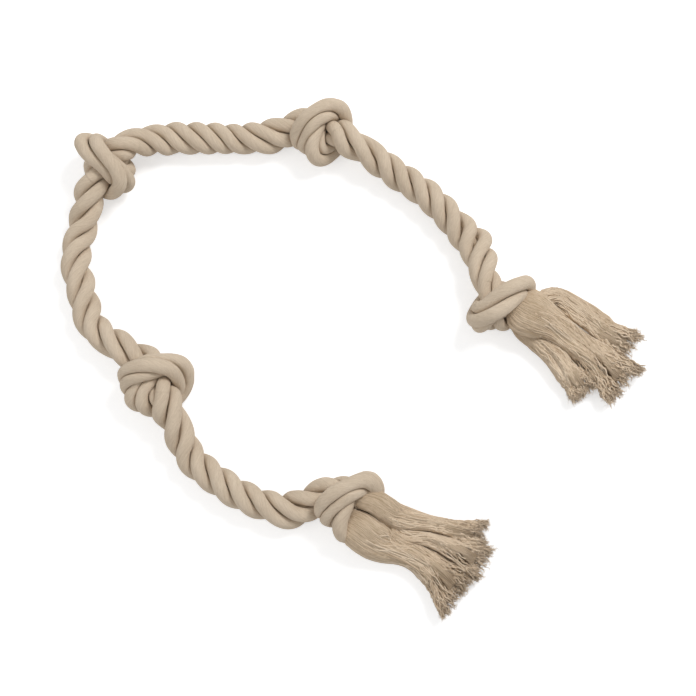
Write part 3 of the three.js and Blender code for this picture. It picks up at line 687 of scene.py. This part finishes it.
class Net:
    """The nodes of a material or a world. What an input is fed is a value or another node's output."""

    def __init__(self, owner):
        owner.use_nodes = True
        self.nodes, self.links = owner.node_tree.nodes, owner.node_tree.links

    def feed(self, node, inputs):
        for socket, value in inputs.items():
            if isinstance(value, bpy.types.NodeSocket):
                self.links.new(value, node.inputs[socket])
            elif value is not None:
                node.inputs[socket].default_value = value
        return node

    def add(self, kind, inputs=None, **settings):
        node = self.nodes.new("ShaderNode" + kind)
        for setting, value in settings.items():
            setattr(node, setting, value)
        return self.feed(node, inputs or {})

    def maths(self, operation, first, second=None):
        return self.add("Math", {0: first, 1: second}, operation=operation).outputs[0]

    def plus(self, first, second):
        return self.maths("ADD", first, second)

    def times(self, first, second):
        return self.maths("MULTIPLY", first, second)

    def noise(self, vector, scale, detail, roughness=0.5):
        inputs = {"Vector": vector, "Scale": scale, "Detail": detail, "Roughness": roughness}
        return self.add("TexNoise", inputs).outputs["Fac"]

    def attribute(self, name):
        return self.add("Attribute", attribute_name=name).outputs["Fac"]

    def step(self, value, low, high):
        """A smooth step from 0 at low to 1 at high."""
        inputs = {"Value": value, "From Min": low, "From Max": high}
        return self.add("MapRange", inputs, interpolation_type="SMOOTHSTEP").outputs["Result"]

    def mix(self, share, first, second):
        return self.add("Mix", {"Factor": share, 6: first, 7: second}, data_type="RGBA").outputs[2]

    def seen_by_camera(self):
        return self.add("LightPath").outputs["Is Camera Ray"]


# %% The cotton material
TONE_SPREAD = 0.3
OWN_TONE_SHARE = 0.2
FLUFF_SHARE = 0.35


def cotton(name, light, dark, painted_shade_colour, twist, yarns, yarn_depth, fibre_depth, stretch=25.0):
    """Spun cotton. Twist is the yarns' turns for each metre of strand, and yarns their number round it."""
    material = bpy.data.materials.new(name)
    net = Net(material)
    shader = net.feed(net.nodes["Principled BSDF"], {
        "Roughness": 0.92, "Specular IOR Level": 0.2,
        "Sheen Weight": 0.25, "Sheen Roughness": 0.6, "Sheen Tint": srgb(235, 222, 203),
    })

    uv = net.add("SeparateXYZ", {0: net.add("UVMap").outputs["UV"]})
    along, round_share = uv.outputs["X"], uv.outputs["Y"]
    angle = net.times(net.plus(round_share, net.times(along, twist)), 2 * math.pi)
    cylinder = net.add("CombineXYZ", {
        "X": net.maths("COSINE", angle), "Y": net.maths("SINE", angle), "Z": net.times(along, stretch),
    }).outputs[0]
    where = net.add("TexCoord").outputs["Object"]

    fibres = net.noise(cylinder, scale=22.0, detail=4.0, roughness=0.65)
    bands = net.noise(cylinder, scale=5.0, detail=2.0)
    clouds = net.noise(where, scale=45.0, detail=3.0)
    fluff = net.noise(where, scale=900.0, detail=3.0, roughness=0.7)
    drift = net.times(net.maths("SUBTRACT", clouds, 0.5), 2.0)
    yarn_angle = net.plus(net.times(angle, float(yarns)), drift)
    ridge = net.maths("ABSOLUTE", net.maths("SINE", yarn_angle))

    tone = net.plus(net.times(bands, 0.5), fibres)
    tone = net.plus(tone, net.times(clouds, 0.5))
    tone = net.plus(tone, net.times(net.attribute("tone"), OWN_TONE_SHARE))
    colour = net.mix(net.step(tone, 1 - TONE_SPREAD, 1 + TONE_SPREAD), dark, light)
    # Painted shade: where the mesh's shade attribute is high (creases, the heart, valleys, hollows, yarns
    # underneath), the colour goes towards the darker shade colour.
    colour = net.mix(net.step(net.attribute("painted_shade"), low=0.1, high=0.5), colour, painted_shade_colour)

    height = net.plus(net.times(ridge, yarn_depth), net.times(fibres, fibre_depth))
    height = net.plus(height, net.times(fluff, FLUFF_SHARE * fibre_depth))
    bump = net.add("Bump", {"Distance": 1.0, "Strength": 1.0, "Height": height})
    net.feed(shader, {"Base Color": colour, "Normal": bump.outputs["Normal"]})
    return material


# The darkest of the rope's colours is painted shade for the creases between strands.
rope_cotton = cotton(
    "rope_cotton", light=srgb(221, 204, 182), dark=srgb(198, 179, 156), painted_shade_colour=srgb(180, 158, 131),
    twist=-18.0, yarns=11, yarn_depth=0.12 * MM, fibre_depth=0.35 * MM,
)
print("material:", rope_cotton.name)

# %% [markdown]
# The free spans
#
# Each span is a stretch of the rope between two knots: three strands wound together. It is one cord, with
# the part's swing hinge at its middle. Its root is tucked into the nearer knot, as a thinner core inside a
# short neck of full strands, at the part's lift hinge.

# %% Spans and their necks
ROOT_TUCK = 2 * MM
TUCK = 15 * MM
NECK = 11 * MM
NECK_EDGE = NECK - 2 * MM
CORE_END = NECK - 5 * MM
CORE_SHARE = 0.5
SLIP_SHARE = 0.06


def thinned(rings, shares):
    """The rings, drawn in towards their middles."""
    middles = rings.mean(axis=1, keepdims=True)
    return middles + (rings - middles) * shares[:, None, None]


for name in SPANS:
    near, far = span_ends(name)
    sign = 1 if far > near else -1
    start, end = sorted((near - sign * ROOT_TUCK, far + sign * TUCK))
    tubes = []
    cores = [*(strand_rings(k, start, end) for k in range(STRANDS)), heart_rings(start, end)]
    for rings, painted_shade, places in cores:
        beyond = sign * (places - near)
        thick = CORE_SHARE + (1 - CORE_SHARE) * smoothstep(beyond, CORE_END, NECK_EDGE)
        tubes.append(roll_tube(thinned(rings, thick), painted_shade))
    span = piece_of("span_" + name, tubes, rope_cotton)
    nodes = [f"span_{name}_{half}_strand_{k + 1}" for half in ("near", "far") for k in range(STRANDS)]
    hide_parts(*nodes)
    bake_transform(span)

    tubes = []
    for k in range(STRANDS):
        rings, painted_shade, places = strand_rings(k, near - NECK, near + NECK)
        thick = 1 - SLIP_SHARE * smoothstep(np.abs(places - near), NECK_EDGE, NECK)
        tubes.append(roll_tube(thinned(rings, thick), painted_shade))
    neck = piece_of("neck_" + name, tubes, rope_cotton)
    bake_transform(neck)

# %% [markdown]
# The knots
#
# In a knot the rope passes over and under itself, and each strand shows as a band of its own. The bands
# are made as the spans' strands are, so they run on into the spans without a step.

# %% Knots
OVERLAP = 1.5 * MM
ROOT_COVER = 22 * MM
for knot in laid_knots:
    start, end = knot["face_in"], knot["face_out"]
    for name in SPANS:
        near, far = span_ends(name)
        start += (NECK - OVERLAP) * (near == start) + (TUCK - OVERLAP) * (far == start)
        end -= (NECK - OVERLAP) * (near == end) + (TUCK - OVERLAP) * (far == end)
    start += ROOT_COVER * (start == laid_knots[0]["face_in"])
    end -= ROOT_COVER * (end == laid_knots[-1]["face_out"])
    tubes = [roll_tube(*strand_rings(k, start, end)[:2]) for k in range(STRANDS)]
    piece = piece_of("knot_" + knot["name"] + "_lump", tubes, rope_cotton)
    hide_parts(*[f"knot_{knot['name']}_strand_{k + 1}" for k in range(STRANDS)])
    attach(piece, "knot_" + knot["name"])
    print("knot", knot["name"], "from", round(start, 4), "to", round(end, 4), "m along the rope")

# %% [markdown]
# The tassels
#
# At each end the rope is unlaid, and each of its three strands is combed out into a bundle of loose yarns.
# A bundle grows out of its strand inside the end knot, widens over the table, and parts into locks at its
# end. It is made in three layers: a combed skin with a ridge for each yarn, loose yarns that lie on the
# skin and make up the locks, and the fine fibres at the yarns' cut ends.

# %% The bundles' lines and widths
OVERRUN = 9 * MM
ROOT_REACH = 24 * MM
BUNDLE_HEIGHT = 15 * MM
BUNDLE_STEP = 1.25 * MM
# How wide and how high each bundle is, in millimetres, at even steps from the knot's face to its end. Where
# a root is given, the bundle starts there, under the knot's last loop, and not on its strand's own line.
BUNDLE_SHAPES = {
    "a": [
        dict(width=(21, 20, 16, 12, 12, 15, 17), height=(17, 16, 14, 12, 12, 12, 11),
             root=[(0.0027, -0.1062, 0.015), (0.0095, -0.1071, 0.018), (0.0169, -0.1092, 0.018),
                   (0.0244, -0.1136, 0.015), (0.032, -0.118, 0.01)]),
        dict(width=(8, 10, 12, 14, 17, 20, 21), height=(9, 10, 12, 13, 13, 12, 11), hidden=0.22),
        dict(width=(33, 27, 21, 19, 23, 28, 32), height=(20, 18, 15, 14, 14, 13, 11),
             root=[(-0.0041, -0.1169, 0.013), (0.002, -0.1197, 0.015), (0.0088, -0.1238, 0.016),
                   (0.0162, -0.1296, 0.013), (0.0238, -0.1341, 0.009)]),
    ],
    "e": [
        dict(width=(13, 16, 17, 18, 19, 22, 24), height=(10, 12, 12, 12, 12, 12, 11), hidden=0.2),
        dict(width=(34, 30, 26, 24, 25, 28, 31), height=(20, 17, 16, 14, 14, 13, 12),
             root=[(0.1114, 0.0331, 0.018), (0.1175, 0.0293, 0.019), (0.1245, 0.0252, 0.018),
                   (0.1317, 0.0221, 0.016), (0.1399, 0.0187, 0.012)]),
        dict(width=(15, 16, 16, 17, 18, 18, 17), height=(11, 11, 12, 12, 12, 11, 10), hidden=0.15,
             root=[(0.116, 0.0187, 0.012), (0.1237, 0.0124, 0.011), (0.1302, 0.0078, 0.009)]),
    ],
}

# Points on a bundle's line before it is given even steps.
LINE_SAMPLES = 500

# Hollows between locks, each from one place on the table to another, in metres. They are pushed in
# and darkened with painted shade.
HOLLOWS = [
    [(0.0661, -0.1417), (0.0728, -0.1477)],
    [(0.0749, -0.1437), (0.0801, -0.1503)],
    [(0.0598, -0.1589), (0.0670, -0.1694)],
    [(0.0807, -0.1543), (0.0873, -0.1609)],
    [(0.1570, -0.0088), (0.1672, -0.0145)],
    [(0.1737, -0.0088), (0.1816, -0.0201)],
]
HOLLOW_RADIUS = 2.6 * MM
HOLLOW_FLOOR_SHARE = 0.35
HOLLOW_DEPTH = 4 * MM


def hollow_at(points):
    """How deep in a hollow each point is, from 0 outside to 1 in its middle, as seen from above."""
    depth = np.zeros(points.shape[:-1])
    for first, last in HOLLOWS:
        first, last = np.array(first) + shift[:2], np.array(last) + shift[:2]
        along = last - first
        share = np.clip((points[..., :2] - first) @ along / (along @ along), 0, 1)
        off = np.linalg.norm(points[..., :2] - first - share[..., None] * along, axis=-1)
        depth = np.maximum(depth, 1 - smoothstep(off / HOLLOW_RADIUS, HOLLOW_FLOOR_SHARE, 1))
    return depth


def bundle_lines(name):
    """The middles of a tassel's bundles, each from inside its strand to its end."""
    tassel, first = TASSELS[name], name == "a"
    knot = laid_knots[0 if first else -1]
    face = knot["face_in" if first else "face_out"]
    sign = -1 if first else 1
    point = line_at(face)
    way = unit(sign * way_at(face) * (1, 1, 0))
    left = np.cross(UP, way)
    roots = []
    for k, line in enumerate(passes):
        beyond = sign * (line[:, 3] - face)
        near = line[(beyond > -ROOT_REACH) & (beyond < OVERRUN)][::sign]
        inside = near[(near[:, :3] - point) @ way < OVERRUN / 2]
        roots.append((float((inside[-1, :3] - point) @ left), k, inside))
    roots.sort(key=lambda root: -root[0])
    found = []
    for n, bundle in enumerate(tassel["bundles"]):
        _, k, inside = roots[bundle["strand"] - 1]
        shape = BUNDLE_SHAPES[name][n]
        height = FLOOR_GAP + BUNDLE_HEIGHT / 2
        route = [(x, y, height) for x, y in bundle["route"]]
        if "root" in shape:
            whole = np.array(shape["root"] + route[1:]) + shift
        else:
            whole = np.vstack([inside[::3, :3], np.array(route) + shift])
        line = evenly(curve_through(whole, np.linspace(0, 1, LINE_SAMPLES)), BUNDLE_STEP)
        reached = lengths_along(line)
        found.append(dict(tassel=name, n=n, k=k, sign=sign, face=face, way=way, line=line,
                          rope_place=inside[0, 3] + sign * reached,
                          place=(reached - ROOT_REACH) / (reached[-1] - ROOT_REACH), **shape))
    return found


bundles = bundle_lines("a") + bundle_lines("e")
print("bundles", [round(lengths_along(bundle["line"])[-1], 3) for bundle in bundles], "m long")

# %% A bundle's skin
SKIN_SIDES = 176
RIDGES = 40
RIDGE = 0.45 * MM
FOLD = 0.8 * MM
TABLE_GAP = 0.6 * MM
THINNEST_SKIN_SHARE = 0.25
GROWN_SHARE = 0.55
# Painted shade in the valleys between the skin's ridges.
VALLEY_SHADE = 0.3


def waves(chance, count, rounds, speeds):
    """A smooth random pattern over a bundle: a sum of waves. Speeds are radians for each metre of it."""
    around = chance.integers(rounds[0], rounds[1] + 1, count)
    along = chance.uniform(*speeds, count) * chance.choice([-1, 1], count)
    phase = chance.uniform(0, 2 * math.pi, count)

    def at(angle, place):
        total = 0
        for m, k, p in zip(around, along, phase):
            total = total + np.cos(m * angle + k * place + p)
        return total / math.sqrt(count)
    return at


def bundle_frames(bundle):
    points = bundle["line"][:, :3]
    ways = unit(np.gradient(points, axis=0))
    sides = unit(np.cross(ways, UP))
    return points, sides, np.cross(sides, ways)


def profile(bundle, key, places):
    """Half of the bundle's width or height. Inside the knot it grows out of its strand."""
    values = np.array((STRAND_DIAMETER / MM, bundle[key][0], *bundle[key])) * MM / 2
    steps = np.linspace(0, 1, len(values) - 2)
    return np.interp(places, (bundle["place"][0], GROWN_SHARE * bundle["place"][0], *steps), values)


def skin_of(bundle, chance):
    """How far the bundle reaches from its middle, for each ring and each angle, before its ridges, and its
    painted shade where it is squeezed in.
    """
    points, sides, above = bundle_frames(bundle)
    shares = bundle["place"]
    angles = 2 * math.pi * np.arange(SKIN_SIDES) / SKIN_SIDES
    directions = spokes(sides, above, SKIN_SIDES)
    wide, high = profile(bundle, "width", shares), profile(bundle, "height", shares)
    full = 1 / np.hypot(np.cos(angles) / wide[:, None], np.sin(angles) / high[:, None])
    own_width = sum(bundle["width"])
    # Two bundles that meet share the room between them as their widths are.
    siblings = [(other["line"][other["place"] > other.get("hidden", -1)],
                 2 * own_width / (own_width + sum(other["width"])))
                for other in bundles if other["tassel"] == bundle["tassel"] and other is not bundle]
    in_knot = [line[bundle["sign"] * (line[:, 3] - bundle["face"]) < -ROOT_REACH * (k != bundle["k"])]
               for k, line in enumerate(passes)]
    others = np.vstack([line for k, line in enumerate(in_knot) if k != bundle["k"]])
    own = in_knot[bundle["k"]]
    radius = np.empty(full.shape)
    for i, point in enumerate(points):
        apart = np.abs(own[:, 3] - bundle["rope_place"][i]) >= OWN_APART
        half = np.full(SKIN_SIDES, NO_LIMIT)
        if "root" not in bundle:
            half = limit(point, directions[i], np.vstack([others[:, :3], own[apart, :3]]))
        for line, share in siblings:
            half = np.minimum(half, share * limit(point, directions[i], line))
        radius[i] = pressed_reach(full[i], half, point[2] - TABLE_GAP, directions[i], THINNEST_SKIN_SHARE)
    radius = along_mean(radius, reach=3)
    # Where the knot, the other bundles or the table squeeze the skin in, it gets painted shade.
    painted_shade = 1 - radius / full
    folds = waves(chance, 9, (2, 7), (40, 130))(angles[None], lengths_along(points)[:, None])
    loose = smoothstep(shares, 0.5 * shares[0], 0.1)[:, None]
    return radius + FOLD * folds * loose, np.clip(painted_shade, 0, 1), directions


def ridged(bundle, radius, painted_shade, chance):
    """The skin with a ridge for each yarn. The valleys between them get a little painted shade."""
    angles = 2 * math.pi * np.arange(SKIN_SIDES)[None] / SKIN_SIDES
    along = lengths_along(bundle["line"])[:, None]
    drift = 4 * waves(chance, 6, (1, 4), (20, 90))(angles, along)
    drift = drift + 1.2 * waves(chance, 7, (2, 9), (120, 420))(angles, along)
    ridge = np.abs(np.sin((RIDGES * angles + 60 * along + drift) / 2))
    depth = RIDGE * (0.7 + 0.3 * waves(chance, 5, (2, 9), (60, 200))(angles, along))
    return radius + depth * (ridge - 1), np.clip(painted_shade + VALLEY_SHADE * (1 - ridge) ** 2, 0, 1)


# %% Yarns and fibres
YARN_SIDES = 3
TUBE_STEP = 5 * MM


def many_tubes(paths, radii, tones, painted_shade):
    """Thin tubes along many lines at once. Each is the same rolled sheet, moved onto its line."""
    count, rings = paths.shape[:2]
    turn = 2 * math.pi * np.arange(YARN_SIDES) / YARN_SIDES
    circle = np.column_stack([np.cos(turn), np.sin(turn), 0 * turn])
    straight = (circle[None] + np.arange(rings)[:, None, None] * UP) * TUBE_STEP
    template = mesh_from(roll_tube(straight, np.zeros((rings, YARN_SIDES))), "straight_tube")
    x, y, z = read_all(template.vertices, "co", 3).T / TUBE_STEP
    ring = np.rint(z).astype(int)
    side = np.rint(np.arctan2(y, x) / (2 * math.pi) * YARN_SIDES).astype(int) % YARN_SIDES

    joined = bmesh.new()
    for _ in range(count):
        joined.from_mesh(template)
    bpy.data.meshes.remove(template)
    mesh = mesh_from(joined, "yarns")
    ways = unit(np.gradient(paths, axis=1))
    sides = unit(np.cross(ways, UP + 1e-3))
    others = np.cross(sides, ways)
    round_it = np.cos(turn)[:, None] * sides[:, :, None] + np.sin(turn)[:, None] * others[:, :, None]
    places = paths[:, :, None] + radii[:, :, None, None] * round_it
    write_all(mesh.vertices, "co", places[:, ring, side])
    # Each yarn's tone and painted shade go to the material as attributes.
    for name, values in (("tone", tones[:, None] * np.ones(rings)), ("painted_shade", painted_shade)):
        write_all(mesh.attributes[name].data, "value", values[:, ring])
    return work_from(mesh)


def reach_at(bundle, radius, shares, angles):
    """The skin's reach at any place along the bundle and any angle."""
    row = np.interp(shares, bundle["place"], np.arange(len(radius)))
    low = np.minimum(np.floor(row).astype(int), len(radius) - 2)
    t = row - low
    column = (angles / (2 * math.pi) * SKIN_SIDES) % SKIN_SIDES
    left = np.floor(column).astype(int) % SKIN_SIDES
    right, f = (left + 1) % SKIN_SIDES, column - np.floor(column)
    nearer = (1 - f) * radius[low, left] + f * radius[low, right]
    further = (1 - f) * radius[low + 1, left] + f * radius[low + 1, right]
    return (1 - t) * nearer + t * further


LOCKS = 5
LOCK_SPREAD = 0.78
LOCK_HEIGHTS = (-0.25, 0.3)
LOCK_ENDS = (0.9, 0.97)
# For the yarns on the skin and for those at the end: the least and the greatest angle round the bundle,
# depth in it (1 is its skin) and place along it (0 is the knot's face, and 1 the bundle's end).
YARN_ANGLES = (-0.4, math.pi + 0.4), (0, 2 * math.pi)
YARN_DEPTHS = (0.95, 1.01), (0.1, 0.9)
YARN_STARTS = (-0.22, 0.55), (0.42, 0.66)
SURFACE_YARNS = 110
END_YARNS = 200
YARN_RINGS = 20
YARN_RADIUS = 0.6 * MM
YARN_CURL = 0.8 * MM
PAST_END = 12
BRIDGE_SHARE = 0.12
FIBRES = 3
FIBRE_ROOT = 1.5 * MM
FIBRE_RADII = np.array([[0.2, 0.14, 0.05]]) * MM


def loose_yarns(bundle, radius, chance):
    """The yarns that lie on the skin, and those that stick out of its end in locks."""
    points, sides, above = bundle_frames(bundle)
    beyond = np.arange(1, PAST_END + 1)
    onward = np.outer(beyond * BUNDLE_STEP, unit(points[-1] - points[-4]))
    points = np.vstack([points, points[-1] + onward])
    sides, above = (np.vstack([v, np.tile(v[-1], (PAST_END, 1))]) for v in (sides, above))
    step = bundle["place"][-1] - bundle["place"][-2]
    reached = np.concatenate([bundle["place"], 1 + step * beyond])

    count = SURFACE_YARNS + END_YARNS
    on_skin = np.arange(count) < SURFACE_YARNS

    def either(on, off):
        return np.where(on_skin, chance.uniform(*on, count), chance.uniform(*off, count))

    angle = either(*YARN_ANGLES)
    depth = either(*YARN_DEPTHS)
    depth = np.where(on_skin, depth, np.sqrt(depth))
    first = either(*YARN_STARTS)

    # The locks at the end, and the one that each yarn joins.
    lock_x = np.linspace(-LOCK_SPREAD, LOCK_SPREAD, LOCKS) + chance.uniform(-0.08, 0.08, LOCKS)
    lock_y = chance.uniform(*LOCK_HEIGHTS, LOCKS)
    lock_end = chance.uniform(*LOCK_ENDS, LOCKS)
    off = lock_x[None] - 0.95 * np.cos(angle)[:, None] + chance.normal(0, 0.12, (count, 1))
    lock = np.argmin(np.abs(off), axis=1)
    last = np.clip(lock_end[lock] + chance.normal(0, 0.03, count), 0.75, 1.01)
    across, up = chance.normal(0, 0.5, (2, count)).clip(-1, 1)

    # Near its start a yarn sways on the skin. Further out it curls and is gathered into its lock.
    t = np.linspace(0, 1, YARN_RINGS)[None]
    share = first[:, None] + (last - first)[:, None] * t

    def swing(*turns):
        turn = share * chance.uniform(*turns, (count, 1))
        return np.sin(2 * math.pi * (turn + chance.uniform(0, 1, (count, 1))))

    sway = np.where(chance.uniform(0, 1, (count, 1)) < 0.25, 0.3, 0.1)
    turned = angle[:, None] + sway * swing(1, 3)
    risen = depth[:, None] * (1 - 0.14 * (1 - smoothstep(t, 0, 0.15)))
    reach = reach_at(bundle, radius, share, turned) * risen
    x, y = reach * np.cos(turned), reach * np.sin(turned)
    wide, high = (profile(bundle, key, np.clip(share, 0, 1)) for key in ("width", "height"))
    flare = 1 + 0.35 * smoothstep(share, 0.86, 1.08)
    lock_wide = wide / LOCKS * 1.25 * flare
    apart = 1 + 0.22 * smoothstep(share, 0.7, 1.05)
    in_lock_x = lock_x[lock][:, None] * wide * apart + across[:, None] * lock_wide
    in_lock_y = lock_y[lock][:, None] * high + up[:, None] * 0.42 * high * flare
    gathered = smoothstep(share, 0.58, 0.9)
    curl = YARN_CURL * smoothstep(share, 0.4, 0.9)
    x = x + (in_lock_x - x) * gathered + curl * swing(6, 13)
    y = y + (in_lock_y - y) * gathered + curl * swing(6, 13)

    # The lines in space. A few yarns bridge the hollows, and none goes through the table.
    middle, side, top = (read_at(share, reached, table) for table in (points, sides, above))
    paths = middle + x[..., None] * unit(side) + y[..., None] * unit(top)
    thick = YARN_RADIUS * (0.5 + 0.5 * smoothstep(t, 0, 0.12)) * (1 - 0.25 * smoothstep(t, 0.85, 1))
    radii = thick * chance.uniform(0.8, 1.15, (count, 1))
    bridge = chance.uniform(0, 1, (count, 1)) < BRIDGE_SHARE
    paths[..., 2] -= HOLLOW_DEPTH * hollow_at(paths) * ~bridge
    paths[..., 2] = np.maximum(paths[..., 2], TABLE_GAP + radii)
    # Painted shade for the yarns deep in the bundle and those low in their lock.
    inside = np.where(on_skin, 0.05, 0.3 * (1 - depth))[:, None] + 0.1 * np.maximum(0, -up)[:, None]
    yarns = many_tubes(paths, radii, chance.normal(0.2, 0.6, count), inside * np.ones(YARN_RINGS))

    # The fibres, which fan out from the yarns' ends.
    tips = np.repeat(paths[:, -1], FIBRES, axis=0)
    ways = np.repeat(unit(paths[:, -1] - paths[:, -2]), FIBRES, axis=0)
    ways = unit(ways + chance.normal(0, 0.5, ways.shape))
    bend = chance.normal(0, 0.6, ways.shape)
    out = chance.uniform(1.5, 5, (len(tips), 1)) * MM
    steps = [tips - FIBRE_ROOT * ways, tips + 0.5 * out * ways, tips + out * unit(ways + bend)]
    fibre_paths = np.stack(steps, axis=1)
    fibre_paths[..., 2] = np.maximum(fibre_paths[..., 2], TABLE_GAP)
    fibre_radii = FIBRE_RADII * np.ones((len(tips), 1))
    tones = chance.normal(0.5, 0.5, len(tips))
    return [yarns, many_tubes(fibre_paths, fibre_radii, tones, np.zeros((len(tips), 3)))]


# %% Tassels
SKIN_END = 0.9
TAPER_FROM = 0.62
TAPER = 0.45
ROOT_SHARE = 0.88
COVERED_SHARE = 0.2
# Painted shade: the skin darkens towards its end, where the locks cover it, and in the hollows between
# locks.
END_SHADE = 0.22
HOLLOW_SHADE = 0.8
FIRST_SEED = 40
# The darkest colour of each yarn cotton is painted shade, for valleys, hollows, the skin's end and the
# yarns underneath.
yarn_cotton = cotton(
    "yarn_cotton", light=srgb(213, 192, 166), dark=srgb(177, 154, 126), painted_shade_colour=srgb(96, 73, 50),
    twist=0.0, yarns=31, yarn_depth=0.2 * MM, fibre_depth=0.4 * MM, stretch=14.0,
)
loose_cotton = cotton(
    "loose_yarn_cotton", light=srgb(235, 215, 190), dark=srgb(195, 172, 144), painted_shade_colour=srgb(101, 78, 54),
    twist=0.0, yarns=0, yarn_depth=0.0, fibre_depth=0.2 * MM,
)
for seed, bundle in enumerate(bundles):
    chance = np.random.default_rng(FIRST_SEED + seed)
    radius, painted_shade, directions = skin_of(bundle, chance)
    shares = bundle["place"][:, None]
    skin, shade = ridged(bundle, radius, painted_shade, chance)
    ending = smoothstep(shares, TAPER_FROM, SKIN_END)
    taper = 1 - TAPER * ending
    rooted = smoothstep(lengths_along(bundle["line"]), 2 * MM, 8 * MM)[:, None]
    root = ROOT_SHARE + (1 - ROOT_SHARE) * rooted
    covered = bundle.get("hidden", -1) - COVERED_SHARE if "root" not in bundle else -1
    keep = (shares[:, 0] <= SKIN_END) & (shares[:, 0] >= covered)
    rings = bundle["line"][:, None, :3] + directions * (skin * taper * root)[:, :, None]
    hollow = hollow_at(rings) * (directions @ UP > 0)
    rings[..., 2] -= HOLLOW_DEPTH * hollow
    # Painted shade towards the skin's end and in the hollows.
    shade = np.clip(shade + END_SHADE * ending + HOLLOW_SHADE * hollow, 0, 1)
    loose = loose_yarns(bundle, radius, chance)
    for tube in loose:
        for face in tube.faces:
            face.material_index = 1
    tubes = [roll_tube(rings[keep], shade[keep]), *loose]
    node = f"tassel_{bundle['tassel']}_bundle_{bundle['n'] + 1}"
    piece = piece_of(node.replace("bundle", "yarns"), tubes, yarn_cotton)
    piece.data.materials.append(loose_cotton)
    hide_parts(node)
    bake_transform(piece)
    print(piece.name, len(piece.data.polygons), "faces")

# %% [markdown]
# Table, backdrop and light
#
# A product photograph on white. The table and the room glow a little more for the camera than for the
# toy, so they are white in the picture and the toy's own shading stays.

# %% Table and light
TABLE_GLOW = 0.5
ROOM_LIGHT = 0.45


def white_table():
    sheet = bmesh.new()
    bmesh.ops.create_grid(sheet, x_segments=1, y_segments=1, size=4.0)
    table = bpy.data.objects.new("table", mesh_from(sheet, "table"))
    bpy.context.scene.collection.objects.link(table)
    material = bpy.data.materials.new("white_table")
    net = Net(material)
    shader = net.feed(net.nodes["Principled BSDF"], {
        "Base Color": (0.8, 0.8, 0.8, 1), "Roughness": 1.0, "Specular IOR Level": 0.0,
    })
    glow = net.add("Emission", {"Strength": net.times(net.seen_by_camera(), TABLE_GLOW)})
    both = net.add("AddShader", {0: shader.outputs[0], 1: glow.outputs[0]})
    net.feed(net.nodes["Material Output"], {"Surface": both.outputs[0]})
    table.data.materials.append(material)


def lamp(name, place, side, watts):
    data = bpy.data.lights.new(name, "AREA")
    data.shape, data.size, data.energy = "DISK", side, watts
    aimed(name, data, place, -Vector(place))


white_table()
lamp("key", place=(0.9, 0.9, 1.5), side=0.8, watts=22)
lamp("fill", place=(-1.2, -0.6, 1.3), side=1.6, watts=8)
world = bpy.data.worlds.new("room")
room = Net(world)
brightness = room.plus(room.times(room.seen_by_camera(), 1 - ROOM_LIGHT), ROOM_LIGHT)
room.feed(room.nodes["Background"], {"Color": (1, 1, 1, 1), "Strength": brightness})
bpy.context.scene.world = world
bpy.context.scene.view_settings.view_transform = "Standard"
